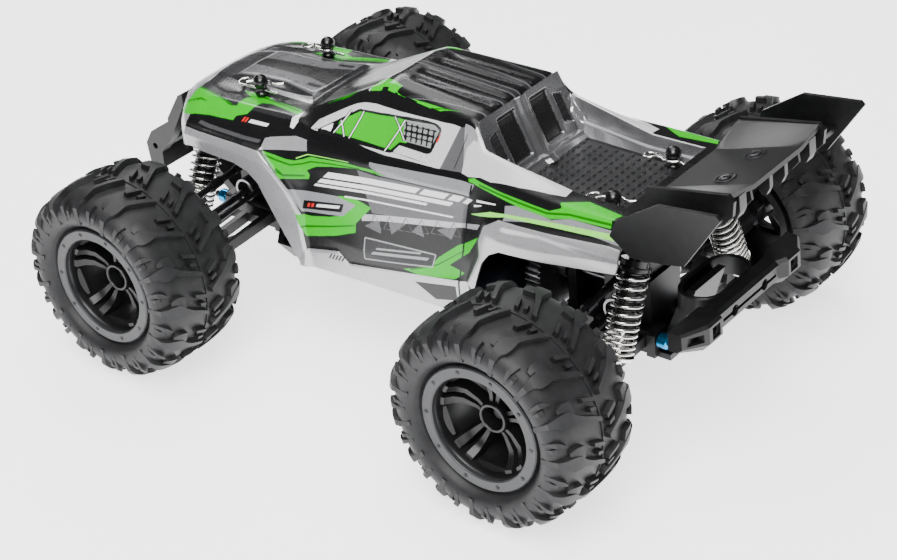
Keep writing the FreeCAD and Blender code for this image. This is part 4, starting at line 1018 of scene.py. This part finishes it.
def shards(start, end, low, high, count):
    """Broken triangles strewn along a line."""
    out = []
    for i in range(count):
        t0, t1 = i / count, (i + 0.72 + 0.2 * math.sin(2.3 * i)) / count
        lean = math.sin(4.1 * i + 1.0)
        points = [(t0, low + 0.25 * (high - low) * (1 + lean)), (t1, low),
                  (0.5 * (t0 + t1) + 0.3 * lean / count, high)]
        if i % 2:
            points = [(t, low + high - up) for t, up in points]
        out.append([(start[0] + (end[0] - start[0]) * t, start[1] + (end[1] - start[1]) * t + up) for t,
                    up in points])
    return out


def sides(*outlines):
    """Outlines in the side drawing, as (x, z)."""
    return [(SIDE, outline) for outline in outlines]


def tops(*outlines):
    """Outlines in the top drawing, as (x, |y|)."""
    return [(TOP, outline) for outline in outlines]


HOOD_GREEN_TOP = [(119, 26.2), (106, 30.2), (92.3, 34.3), (90.3, 33.9), (90.5, 27.2), (89.3, 25.3),
                  (95.7, 22.2),
                  (89.5, 21.3), (81.6, 21.9), (59.1, 26.8), (55.9, 29.1), (56.2, 30.8), (65.6, 28.9),
                  (76.3, 26.5),
                  (80.8, 27.7), (80.7, 31.6), (82.7, 35.4), (87.7, 37.1), (88, 38.8), (101.2, 39.1),
                  (121, 38.8)]
HOOD_GREEN_SIDE = [(121, 98.5), (92.3, 98.6), (90.3, 99.6), (90.5, 102), (80.7, 102), (80.8, 100.3),
                   (82.7, 97.8),
                   (87.7, 96.4), (88, 95.1), (101.2, 94.4), (110, 93), (122, 89.5)]
DOOR_GREEN = [(67, 88.8), (62, 87.9), (56.4, 86.7), (52.3, 86.5), (48.5, 87.6), (45.4, 89), (40.1, 89.2),
              (32.3, 89.9),
              (26.1, 90.3), (19.7, 90.2), (13.3, 90.6), (5.4, 90.1), (10.9, 89.4), (21.1, 89.3), (28.9, 88.1),
              (34.3, 87.3), (42, 85.7), (46.5, 83.4), (44.8, 81.9), (45.1, 80), (49, 79.4), (55.6, 78.7),
              (57.9, 78.5), (62.1, 83.8)]
LOWER_GREEN = [(51.1, 63.9), (43.9, 64.1), (34, 66.2), (26.8, 68.4), (20.7, 74.4), (30.9, 76),
               (23.3, 77.4), (12.9, 75),
               (16.7, 70.8), (20.5, 66.6), (20.4, 62.7), (30.8, 58.7), (47.5, 53.8), (49.7, 59.9)]
SILL_GREEN = [(-4.4, 53.6), (-18.9, 58.9), (-22.5, 63.7), (-32, 71.4), (-35.5, 73.3), (-44.2, 79.5),
              (-38.4, 70.6),
              (-28, 62), (-36, 60.9), (-31.4, 57.1), (-12.3, 53.4)]
REAR_GREEN_SIDE = [(-31.8, 97.3), (-36.8, 99.4), (-51, 98.2), (-65.8, 97.6), (-75, 97.4), (-80, 99.4),
                   (-78.7, 102),
                   (-104, 102), (-102.3, 100.4), (-103.1, 97.7), (-84.9, 97), (-76.3, 95), (-61.6, 95.1),
                   (-46.2, 96.6), (-37.4, 97.4)]
REAR_GREEN_TOP = [(-78.7, 36.3), (-88.2, 31), (-104.6, 33.4), (-103.2, 36.0), (-103, 40), (-80, 40)]
ROOF_GREEN = [(24.1, 21.9), (16.3, 22.4), (12, 26), (-8.4, 26), (-25.1, 22.9), (-15.6, 24), (6.9, 23),
              (10, 22.2),
              (9.1, 19.4), (15.9, 17.2), (24.2, 14.5), (25.9, 19.1)]
MESH_PANEL = [(3.2, 111.1), (-12.2, 112.8), (-15.3, 111.3), (-12.5, 104.1), (1.9, 103.8)]
NAME_PLATE = [(15.5, 61.9), (-21, 64.3), (-19.7, 58.8), (16.1, 52.1)]

CAGE = [[(9.3, 98.6), (2.7, 111.0)], [(8.2, 111.4), (1.2, 104.0)], [(37.0, 99.4), (31.0, 108.6)],
        [(31.2, 99.2), (35.4, 104.0)], [(28.6, 99.2), (24.6, 109.6)]]
STRIPE_SPLIT = [34, 9, 4, 2]

# Painted areas in the order they are laid on: name, colour, metal share, outlines.
LIVERY = [
    ("charcoal", (0.026, 0.026, 0.028), 0.2,
     tops([(127, -1), (127, 33.6), (60, 33.6), (57, 25), (57, -1)],
          band([(9, 24.0), (-18.8, 19.0), (-33.5, 18.8)], 0.6, 3.0),
          band([(14, 14.6), (2, 11.6), (-34, 8.0)], 2.2, 3.2),
          band([(20, 0), (-12, 0), (-34, 0)], 3.0, 4.4)) + sides(NAME_PLATE)),
    ("grey", (0.125, 0.125, 0.131), 0.3,
     tops([(107, 13.4), (92.7, 12.3), (80.1, 12.3), (60.4, 17.6), (59.8, 8.9), (73, 5.3), (107.3, 3.5)],
          band([(8, 24.3), (-20, 20.2), (-33.5, 19.9)], 0.3, 0.9),
          band([(13, 15.2), (0, 12.1), (-34, 8.9)], 0.5, 1.0),
          band([(18, 1.2), (-34, 1.6)], 0.4, 0.8))
     + sides([(21.3, 88.8), (14.1, 88.4), (-35.7, 91.5), (-35, 79.4), (12.3, 73.1), (14.8, 77.5)],
             [(-25.7, 115.2), (-28.8, 115.6), (-30.4, 99.3), (-19.1, 98.2)],
             *shards((16, 64.0), (-33, 73.5), 0.0, 6.0, 4))),
    ("ledge", (0.27, 0.275, 0.29), 0.2,
     sides([(15.4, 93.3), (10.2, 94.6), (-37.5, 97.1), (-35.8, 92.1), (-25.4, 91.5), (11, 89.3),
            (15.4, 91.8)],
           [(54.8, 74.1), (30.9, 76), (18.2, 75.1), (25.1, 68.3), (48.7, 65.2)],
           [(-54.5, 94.1), (-61.4, 95.8), (-76.9, 94.8), (-84.9, 97), (-113, 97.4), (-113, 93.5),
            (-81.4, 94.2),
            (-55.9, 89.7)])),
    ("silver", (0.46, 0.46, 0.475), 0.5,
     sides(FRONT_BAND, [(113, 100), (129, 100), (129, 78), (113, 78)], REAR_FLARE,
           [(47.5, 47.7), (30.2, 51.5), (25.2, 46.9), (-37.8, 57.8), (-37.8, 36), (60, 36), (52.5, 41)],
           [(-27.7, 115.7), (-28.5, 121), (-36, 121), (-36.5, 103), (-33.6, 99.9), (-30.4, 99.3)],
           [(68.4, 89.1), (68.2, 92.7), (66, 93.4), (54.1, 95.5), (48.5, 94.9), (47.5, 90.8), (50.7, 90.4)],
           # Light diagonal band across the door: a painted highlight, laid in as silver colour.
           [(17.5, 71.4), (3, 74.3), (-32.4, 80.4), (-44, 84.2), (-42.6, 81.7), (-27.2, 77.1), (7, 71.1),
            (17.4, 68.5)])
     + tops([(89.2, 16.3), (60.4, 18), (57.7, 21.8), (84.8, 18.1)],
            [(129, -1), (122.5, -1), (119.5, 16), (118, 34),
                                                                     (129, 34)])),
    ("pale", (0.60, 0.60, 0.61), 0.1,
     sides(WINDOW_FRAME,
           [(-29.7, 97.6), (-30.2, 108.1), (-33.0, 112), (-50, 112), (-50, 100.2), (-40, 100.5)],
           band([(-38.5, 40), (-42.4, 54), (-48.6, 70.6), (-52.6, 76.2), (-57, 79.6), (-66.4, 81),
                 (-85, 83.6),
                 (-103, 85.4), (-113, 86.4)], 3.6))
     + tops([(-33, 20), (-77.6, 20), (-78.2, 32.4), (-72, 34), (-59.2, 35.6), (-46, 36.2), (-38, 36.5),
             (-33, 30)],
            # Thin pale band where the windscreen meets the roof: a painted highlight.
            band([(25.4, 21.6), (20.7, 16.1), (17.6, 9), (17.4, -1)], 1.3, 0.7))),
    ("green", (0.012, 0.47, 0.001), 0.0,
     tops(HOOD_GREEN_TOP, REAR_GREEN_TOP, ROOF_GREEN)
     + sides(HOOD_GREEN_SIDE, DOOR_GREEN, LOWER_GREEN, SILL_GREEN, REAR_GREEN_SIDE,
             [(26, 122), (16.3, 122), (12, 120.2), (-8.4, 119.2), (-12, 121), (-4, 125), (24, 125)])),
    ("deep_green", (0.003, 0.15, 0.001), 0.0,
     tops([(50, 25.0), (35.1, 22.8), (24.5, 16.6), (35, 20.0)],
          band([(93, 33.6), (106, 29.6), (119, 25.8)], 0.9),
          band([(88.5, 22.4), (81.6, 23.0), (59.5, 27.9)], 0.9),
          band([(121, 34.0), (112, 33.8), (101, 36.6), (89, 36.4)], 2.6),
          band([(8, 24.6), (-8, 25.0), (-22, 23.4)], 0.6, 0.3))
     + sides(band([(66, 87.4), (60, 85.8), (54, 84.6), (49, 85.6), (45, 87.1), (36, 88.2), (20, 89.5)],
                  0.9, 0.5),
             band([(60.5, 82.2), (56.8, 80), (47, 81)], 1.3, 0.8),
             band([(49, 58.2), (33, 62.2), (21, 65.6)], 1.0, 0.6),
             band([(-40, 97.9), (-60, 96.7), (-74, 96.4), (-84, 98.2), (-103, 98.9)], 0.8),
             band([(-8, 54.4), (-22, 60.4), (-36, 70.6)], 0.8, 0.4))),
    ("mint", (0.26, 0.78, 0.11), 0.0,
     sides([(-37.4, 86), (-48.2, 90.4), (-55.6, 91.6), (-76.7, 94.1), (-113, 97.0), (-113, 94.9),
            (-77.4, 92.7),
            (-55, 90.5), (-42.2, 86.9)], band([(52, 87.4), (47, 89.6), (26, 90.9)], 0.5, 0.3))),
    ("black", (0.0045, 0.0045, 0.005), 0.0,
     sides(PANE,
           [(49.3, 95.8), (48.3, 98.5), (27.4, 98.9), (8.3, 96.3), (-29.4, 99.1), (-33, 98.7), (-34.8, 97.2),
                  (14.2, 93.6)],
           band([(-36.2, 96.6), (-35.7, 79), (-33.9, 62), (-33.0, 50)], 0.9),
           *bars((36.4, 46.4), (28.6, 46.9), 0.0, 2.8, [1, 1, 1, 1, 1], 0.9, 0.7),
           [(48.5, 66.4), (28, 69.6), (26.8, 73.4), (47.5, 70.4)],
           [(-10, 49.5), (-31.6, 54.0), (-31.6, 47), (-20, 44)])
     + tops([(120, 13.9), (98.5, 17.6), (97, 24), (103.3, 24.7), (118, 20.4)],
            [(108, -1), (108, 2.8), (73, 4.6), (59.8, 8.3), (58, -1)],
            [(96.6, 25.2), (91.6, 32.0), (104.6, 26.4)],
            [(80.4, 22.8), (62, 26.0), (60, 22.6)], band([(70, 10.2), (62, 11.0)], 2.4))),
    ("leaf", (0.014, 0.42, 0.002), 0.0,
     sides([(36, 99.6), (36, 103.6), (26.6, 109.0), (8.1, 111.0), (0.6, 111.4), (-0.6, 103.4),
            (3.0, 103.1), (6.6, 99.6)])),
    ("dim", (0.085, 0.085, 0.09), 0.3,
     tops(*[band([(118.2 - 2.1 * k, 15.0 + 0.3 * k), (116.2 - 2.1 * k, 20.6 + 0.32 * k)],
                 0.5) for k in range(9)],
          *rings([(103, 27.2), (97, 30.6), (94.5, 26.2)], 0.3),
          *rings([(97, 26.0), (93, 31.2), (91.5, 27.0)], 0.3),
          *rings([(78, 23.4), (70, 25.4), (70.5, 23.0)], 0.3),
          *rings([(70, 23.2), (62, 25.2), (63, 22.8)], 0.3),
          *[piece for k in range(7) for piece in
            rings([(4 - 5.2 * k, 9.0 + 0.2 * k), (-1 - 5.2 * k, 9.6 + 0.2 * k),
                   (1.6 - 5.2 * k, 11.6 + 0.2 * k)], 0.28)])
     + sides(*bars((105.5, 90.9), (70.5, 90.6), 0.2, 1.3, [1], 0.0, 0.6),
             *[piece for k in range(6) for piece in
               rings([(14 - 8 * k, 66.6 + 1.5 * k), (7 - 8 * k, 67.4 + 1.5 * k),
                      (11 - 8 * k, 72.6 + 1.4 * k)], 0.35)])),
    ("mesh", (0.30, 0.31, 0.31), 0.2, sides(MESH_PANEL, *rings(NAME_PLATE, 0.6),
                                            *bars((13.0, 54.8), (-16.0, 60.0), 0.6, 1.8, [1], 0.0, 1.1),
                                            *bars((13.0, 54.8), (-10.0, 59.0), 2.8, 3.6, [1], 0.0, 1.1))),
    ("ink", (0.006, 0.006, 0.0065), 0.0,
     sides(*[band(line, 1.25) for line in CAGE], *rings(PANE, 0.9),
           *[band([(2.0 - 2.9 * i, 110.8), (0.6 - 2.7 * i, 104.2)], 0.8) for i in range(6)],
           band([(2.4, 107.4), (-13.4, 108.4)], 0.8), band([(2.0, 109.4), (-13.8, 110.6)], 0.6),
           band([(2.0, 105.6), (-13.0, 106.4)], 0.6), band([(-25.8, 99.6), (-29.8, 113.8)], 0.35),
           band([(46.5, 99.5), (-19.5, 99.0)], 0.3))),
    ("white", (0.84, 0.84, 0.85), 0.0,
     sides(*[band(line, 0.5) for line in CAGE], [(43.6, 99.7), (38.6, 102.4), (38.6, 99.5)],
           *bars((43.0, 77.4), (-30.4, 84.0), 4.4, 6.8, STRIPE_SPLIT, 1.4, 1.1),
           *bars((43.0, 77.4), (-24.0, 83.4), 2.0, 3.7, [1], 0.0, 1.1),
           *bars((43.0, 77.4), (-14.0, 82.5), 0.4, 1.4, [1], 0.0, 1.1),
           *bars((27, 76.1), (-28, 81.1), 0.2, 0.9, [1], 0.0, 0.6),
           *bars((41.5, 68.6), (29.5, 70.6), 0.2, 1.5, [1], 0.0, 0.6),
           *bars((80, 95.6), (70, 95.8), 0.2, 1.2, [1], 0.0, 0.6),
           [(60, 103), (57.8, 103), (55.4, 100.1), (56.6, 97.5), (58.5, 97.8)],
           band([(-40, 91.8), (-50, 93.4)], 0.9, 0.4), band([(-39, 89.6), (-43, 90.9)], 0.8, 0.4))
     + tops([(60, 34), (57.8, 32.1), (55.4, 33.7), (56, 36), (59, 36)])),
    ("red", (0.62, 0.02, 0.015), 0.0, sides([(-17.2, 111.8), (-15.9, 107), (-14.7, 107.5)],
                                            *bars((46, 67.8), (42.6, 68.4), 0.0, 1.7, [1, 1], 0.5, 0.3),
                                            *bars((83.6, 95.5), (81, 95.6), 0.0, 1.4, [1, 1], 0.5, 0.3))),
]


PAINT_EDGE = 0.07


def livery_material():
    """Printed gloss shell, with two light bands that are painted highlights: each painted area is laid over the
    last along its own crisp edge.
    """
    n = Nodes("livery")
    drift = n.noise(60.0, 3.0)
    colour = n.ramp(drift, [(0.3, (0.0042, 0.0042, 0.0046)), (0.7, (0.0065, 0.0065, 0.007))])
    metal = None
    tone = span(n, drift, 0.88, 1.08)
    for name, paint_colour, share, _ in LIVERY:
        field = n.add("Attribute", attribute_name="paint_" + name)
        edge = n.add("MapRange")
        edge.inputs["From Min"].default_value = -PAINT_EDGE
        edge.inputs["From Max"].default_value = PAINT_EDGE
        n.link(field.outputs["Fac"], edge.inputs["Value"])
        shade = n.add("Mix", data_type="RGBA", blend_type="MULTIPLY")
        shade.inputs["Factor"].default_value = 1.0
        shade.inputs["A"].default_value = (*paint_colour, 1.0)
        n.link(tone, shade.inputs["B"])
        mix = n.add("Mix", data_type="RGBA")
        n.link(edge.outputs["Result"], mix.inputs["Factor"])
        n.link(colour, mix.inputs["A"])
        n.link(shade.outputs["Result"], mix.inputs["B"])
        colour = mix.outputs["Result"]
        level = n.add("Mix")
        n.link(edge.outputs["Result"], level.inputs["Factor"])
        if metal is None:
            level.inputs["A"].default_value = 0.0
        else:
            n.link(metal, level.inputs["A"])
        level.inputs["B"].default_value = share
        metal = level.outputs["Result"]
    n.link(colour, n.shader.inputs["Base Color"])
    n.link(metal, n.shader.inputs["Metallic"])
    fine = n.noise(160.0, 2.0)
    n.link(span(n, fine, 0.24, 0.32), n.shader.inputs["Roughness"])
    n.shader.inputs["Specular IOR Level"].default_value = 0.30
    n.shader.inputs["Coat Weight"].default_value = 0.14
    n.shader.inputs["Coat Roughness"].default_value = 0.12
    n.bump(fine, 0.012, 0.0002)
    return n.material


def depth_in(outlines, points):
    """How far inside the outlines each point lies, in the top drawing and in the side drawing."""
    best = {TOP: np.full(len(points), -9.0), SIDE: np.full(len(points), -9.0)}
    for chart, outline in outlines:
        best[chart] = np.maximum(best[chart], signed(*drawing_point(points, chart), outline))
    return best


class Corners:
    """Point and corner tables of a mesh, in millimetres."""

    def __init__(self, mesh):
        points = np.empty(len(mesh.vertices) * 3)
        mesh.vertices.foreach_get("co", points)
        self.points = points.reshape(-1, 3) / MM
        self.loops = np.empty(len(mesh.loops), int)
        mesh.loops.foreach_get("vertex_index", self.loops)
        self.sizes = np.empty(len(mesh.polygons), int)
        mesh.polygons.foreach_get("loop_total", self.sizes)
        self.owner = np.repeat(np.arange(len(self.sizes)), self.sizes)
        self.centre = np.stack([self.mean(self.points[self.loops, axis]) for axis in range(3)], axis=1)
        self.top = is_top(self.centre[:, 0], self.centre[:, 1])

    def mean(self, values):
        """Mean over each face of a value given at its corners."""
        return np.bincount(self.owner, values) / self.sizes

    def depths(self, outlines):
        depth = depth_in(outlines, self.points)
        return np.where(self.top[self.owner], depth[TOP][self.loops], depth[SIDE][self.loops])


PAINT_ERROR = 0.03
PAINT_REACH = 0.8


def refine_edges(obj, cuts):
    """Splits the faces where the painted edges turn or lie too close together for the mesh."""
    mesh = obj.data
    table = Corners(mesh)
    coarse = np.zeros(len(table.sizes), bool)
    for _, _, _, outlines in LIVERY:
        mean = table.mean(table.depths(outlines))
        middle = depth_in(outlines, table.centre)
        middle = np.where(table.top, middle[TOP], middle[SIDE])
        near = np.minimum(np.abs(mean), np.abs(middle)) < PAINT_REACH
        coarse |= (np.abs(mean - middle) > PAINT_ERROR) & near
    index = np.empty(len(mesh.polygons), int)
    mesh.polygons.foreach_get("material_index", index)
    chosen = np.nonzero(coarse & (index == 0))[0]
    fine = bmesh.new()
    fine.from_mesh(mesh)
    fine.faces.ensure_lookup_table()
    edges = {edge for i in chosen for edge in fine.faces[i].edges}
    bmesh.ops.subdivide_edges(fine, edges=sorted(edges, key=lambda edge: edge.index), cuts=cuts,
                              use_grid_fill=True)
    fine.to_mesh(mesh)
    fine.free()


def paint_livery(obj):
    """Writes how far inside each painted area every face corner lies."""
    table = Corners(obj.data)
    for name, _, _, outlines in LIVERY:
        field = obj.data.attributes.new("paint_" + name, "FLOAT", "CORNER")
        field.data.foreach_set("value", table.depths(outlines))


def make_shell():
    points, faces = shell_mesh()
    obj = new_object("body_shell_look", points.tolist(), faces.tolist(), [livery_material(), SHELL_INSIDE],
                     50.0)
    thick = obj.modifiers.new("thick", "SOLIDIFY")
    thick.thickness = SHELL_T * MM
    thick.offset = -1.0
    thick.use_rim = True
    thick.material_offset = 1
    thick.material_offset_rim = 1
    apply_modifiers(obj)
    refine_edges(obj, 2)
    paint_livery(obj)
    obj.data.set_sharp_from_angle(angle=math.radians(45))
    add_piece(obj, "chassis", ["body_shell"])


make_shell()


# ---- load bed and the back of the cab -------------------------------------------------------
def surface_z(x, y):
    """Height of the shell's upper side at (x, y)."""
    xs = [s[0] for s in STATIONS[::-1]]
    sections = [np.interp(y, [p[0] for p in s[1][:4]], [p[1] for p in s[1][:4]]) for s in STATIONS[::-1]]
    return float(np.interp(x, xs, sections))


BED_FLOOR_Z = 93.2
CAB_WALL_FOOT = -46.2
BED_HALF = [(-33.6, 26.2), (-38.5, 29.0), (-50, 28.8), (-75, 27.6), (-102.5, 28.2)]


def bed_edge_y(x):
    return float(np.interp(-x, [-p[0] for p in BED_HALF], [p[1] for p in BED_HALF]))


def bed_floor(x):
    """Height of the bottom of the bed along x: the cab's back, the floor and the tail."""
    return float(np.interp(-x, [33.6, 34.4, 36.4, 45.4, 46.8, 99.0, 101.0, 102.5],
                           [119.6, 118.6, 112.5, 94.4, BED_FLOOR_Z, BED_FLOOR_Z, 95.0, 100.6]))


def make_bed():
    """Floor, tail and stepped, bright side walls of the load bed. The back of the cab closes its front."""
    rows = []
    xs = np.concatenate([np.linspace(-33.6, -48, 30), np.linspace(-49, -98, 50),
                         np.linspace(-98.6, -102.5, 8)])
    for x in xs:
        x = float(x)
        edge = bed_edge_y(x)
        rim = surface_z(x, edge)
        floor = min(bed_floor(x), rim - 0.1)
        drop = rim - floor
        step = floor + 0.42 * drop
        inset = min(1.0, drop / 6.0)
        half = [(edge, rim), (edge - 0.5 * inset, rim - 0.3 * inset),
                (edge - 1.3 * inset, step + 0.6 * inset),
                (edge - 1.7 * inset, step + 0.1 * inset), (edge - 3.4 * inset, step - 0.1 * inset),
                (edge - 3.9 * inset, step - 0.7 * inset), (edge - 4.9 * inset, floor + 0.8 * inset),
                (edge - 5.6 * inset, floor)]
        inner = edge - 5.6 * inset
        half += [(inner * (1 - t), floor) for t in (0.15, 0.35, 0.6, 0.8)]
        rows.append([(x, -y, z) for y, z in half] + [(x, 0.0, floor)] + [(x, y, z) for y,
                                                                         z in reversed(half)])
    build = Build()
    build.grid(rows)
    slots = []
    width = len(rows[0]) - 1
    for row, after in zip(rows, rows[1:]):
        under_cab = 0.5 * (row[0][0] + after[0][0]) > CAB_WALL_FOOT
        for j in range(width):
            side_wall = min(j, width - 1 - j) < 6
            slots.append(0 if side_wall else None if under_cab else 1)
    build.faces = [face for face, slot in zip(build.faces, slots) if slot is not None]
    build.slots = [slot for slot in slots if slot is not None]
    obj = build.object("load_bed", [BED_SILVER, BED_BLACK], 40.0)
    thick = obj.modifiers.new("thick", "SOLIDIFY")
    thick.thickness = 0.8 * MM
    thick.offset = -1.0
    apply_modifiers(obj)
    obj.data.set_sharp_from_angle(angle=math.radians(40))
    add_piece(obj, "chassis", [])


WALL_LINE = [(0.0, -33.9, 119.0), (0.24, -36.4, 112.5), (0.92, -45.4, 94.4), (1.0, -47.4, 93.0)]
WALL_NORMAL = (-0.9, 0.44)
VENT_PITCH = 1.1


def inside_span(value, low, high, slope):
    """Smooth 0 to 1 share of value lying between low and high."""
    t = min(max((min(value - low, high - value)) / slope, 0.0), 1.0)
    return t * t * (3 - 2 * t)


def wall_relief(y, t):
    """Height of the cab's back wall over its base plane, and its material."""
    y = abs(y)
    pillar = 1.9 * inside_span(y, -9.0, 3.6, 2.2)
    panel = inside_span(y, 4.4, 17.0, 1.6) * inside_span(t, 0.10, 0.80, 0.05)
    vent = inside_span(y, 18.6, 24.4, 0.7) * inside_span(t, 0.22 + 0.01 * (y - 18),
                                                         0.66 + 0.012 * (y - 18), 0.03)
    ledge = 2.2 * inside_span(t, 0.84, 1.3, 0.04)
    slat = 0.55 * vent * math.sin(2 * math.pi * y / VENT_PITCH)
    kind = 2 if vent > 0.5 else 1 if panel > 0.5 else 0
    return pillar - 1.4 * panel - 0.8 * vent + slat + ledge, kind


def make_cab_wall():
    """Back of the cab: a central pillar between two sunk panels, with a slatted vent at each side."""
    shares, xs, zs = zip(*WALL_LINE)
    rows, kinds = [], []
    rows_count, half_count = 90, 130
    for i in range(rows_count + 1):
        t = i / rows_count
        x, z = float(np.interp(t, shares, xs)), float(np.interp(t, shares, zs))
        half = float(np.interp(z, [93.0, 97.0, 108.0, 119.0], [24.6, 27.4, 28.6, 26.4]))
        row, row_kinds = [], []
        for j in range(-half_count, half_count + 1):
            y = half * j / half_count
            height, kind = wall_relief(y, t)
            row.append((x + WALL_NORMAL[0] * height, y, z + WALL_NORMAL[1] * height))
            row_kinds.append(kind)
        rows.append(row)
        kinds.append(row_kinds)
    build = Build()
    build.grid(rows)
    build.slots = [kinds[i][j] for i in range(rows_count) for j in range(2 * half_count)]
    obj = build.object("cab_back_wall", [CAB_SILVER, CAB_BACK, BED_BLACK], 40.0)
    thick = obj.modifiers.new("thick", "SOLIDIFY")
    thick.thickness = 0.6 * MM
    thick.offset = -1.0
    apply_modifiers(obj)
    add_piece(obj, "chassis", [])


TREAD_PITCH = 3.9
TREAD_SHIFT = 0.9


def make_treads():
    """Rows of short raised dashes over the bed's floor."""
    build = Build()
    for row in range(13):
        x = -49.5 - TREAD_PITCH * row
        for column in range(11):
            y = -19.5 + TREAD_PITCH * column + (TREAD_SHIFT if row % 2 else -TREAD_SHIFT)
            low, high = [], []
            for k in range(8):
                a = math.pi / 4 * k
                low.append((x + 1.15 * math.cos(a), y + 1.75 * math.sin(a), BED_FLOOR_Z - 0.1))
                high.append((x + 0.7 * math.cos(a), y + 1.25 * math.sin(a), BED_FLOOR_Z + 0.75))
            build.solid([low, high])
    add_piece(build.object("bed_treads", [BED_BLACK], 50.0), "chassis", [])


BED_SILVER = surface("bed_silver", (0.22, 0.22, 0.23), (0.40, 0.40, 0.41), 0.20, metal=0.75, scale=300,
                     grain=0.02,
                     coat=0.4)
CAB_BACK = surface("cab_back", (0.018, 0.018, 0.019), (0.030, 0.030, 0.031), 0.26, metal=0.6, scale=300,
                   grain=0.02,
                   coat=0.4)
CAB_SILVER = surface("cab_silver", (0.12, 0.12, 0.125), (0.20, 0.20, 0.205), 0.24, metal=0.7, scale=300,
                     grain=0.02,
                     coat=0.3)
BED_BLACK = surface("bed_black", (0.012, 0.012, 0.013), (0.020, 0.020, 0.021), 0.34, scale=900, grain=0.06)
make_bed()
make_cab_wall()
make_treads()


# ---- stage --------------------------------------------------------------------------------
FLOOR_SIZE = 4000.0
RING_STEPS = 64


def make_stage():
    """Pale floor, and a pale wall far off that only the camera sees."""
    n = Nodes("floor")
    tone = n.ramp(n.noise(3.0, 2.0), [(0.3, (0.86, 0.86, 0.87)), (0.7, (0.90, 0.90, 0.91))])
    n.link(tone, n.shader.inputs["Base Color"])
    n.link(tone, n.shader.inputs["Emission Color"])
    n.shader.inputs["Emission Strength"].default_value = 2.3
    n.shader.inputs["Roughness"].default_value = 0.75
    n.shader.inputs["Specular IOR Level"].default_value = 0.2
    size = FLOOR_SIZE
    floor = new_object("floor", [(-size, -size, 0), (size, -size, 0), (size, size, 0), (-size, size, 0)],
                       [(0, 1, 2, 3)],
                       n.material)
    angles = [2 * math.pi * k / RING_STEPS for k in range(RING_STEPS)]
    ring = [(0.97 * size * math.cos(a), 0.97 * size * math.sin(a)) for a in angles]
    wall = [(x, y, z) for z in (-1.0, size) for x, y in ring]
    faces = [(k, (k + 1) % RING_STEPS, RING_STEPS + (k + 1) % RING_STEPS,
              RING_STEPS + k) for k in range(RING_STEPS)]
    backdrop = new_object("backdrop", wall, faces, n.material)
    backdrop.visible_diffuse = False
    backdrop.visible_glossy = False
    backdrop.visible_shadow = False
    world = bpy.data.worlds.new("studio")
    bpy.context.scene.world = world
    world.use_nodes = True
    background = world.node_tree.nodes["Background"]
    background.inputs["Color"].default_value = (1.0, 1.0, 1.0, 1.0)
    background.inputs["Strength"].default_value = 0.07


def area_light(name, place, target, size, power, size_y=None):
    data = bpy.data.lights.new(name, "AREA")
    data.shape = "RECTANGLE"
    data.size = size
    data.size_y = size_y or size
    data.energy = power
    light = bpy.data.objects.new(name, data)
    light.location = place
    light.rotation_euler = (Vector(target) - Vector(place)).to_track_quat("-Z", "Y").to_euler()
    bpy.context.collection.objects.link(light)


def make_lights():
    area_light("key", (-0.45, 0.8, 1.15), (0, 0, 0.05), 0.9, 31.0)
    area_light("top", (0.1, 0.0, 1.5), (0, 0, 0.05), 1.2, 22.0)
    area_light("back", (1.0, -0.75, 1.0), (0, 0, 0.06), 0.5, 7.0, 0.3)


CAMERA_AT = (-0.49003, 0.59413, 0.47978)
CAMERA_DEGREES = (220.084, 30.581, -4.686)
CAMERA_LENS = 84.28


def make_camera():
    """Camera at a place in metres, turned by azimuth, elevation and roll."""
    azimuth, elevation, roll = (math.radians(angle) for angle in CAMERA_DEGREES)
    back = Vector((math.sin(azimuth) * math.cos(elevation), -math.cos(azimuth) * math.cos(elevation),
                   math.sin(elevation)))
    right = (-back).cross(Vector((0, 0, 1))).normalized()
    up = right.cross(-back)
    right, up = (right * math.cos(roll) + up * math.sin(roll), up * math.cos(roll) - right * math.sin(roll))
    data = bpy.data.cameras.new("camera")
    data.lens = CAMERA_LENS
    data.sensor_width = 36.0
    data.clip_start = 0.01
    camera = bpy.data.objects.new("camera", data)
    rows = [(*axes, at) for *axes, at in zip(right, up, back, CAMERA_AT)]
    camera.matrix_world = Matrix((*rows, (0, 0, 0, 1)))
    bpy.context.collection.objects.link(camera)
    bpy.context.scene.camera = camera


make_stage()
make_lights()
make_camera()
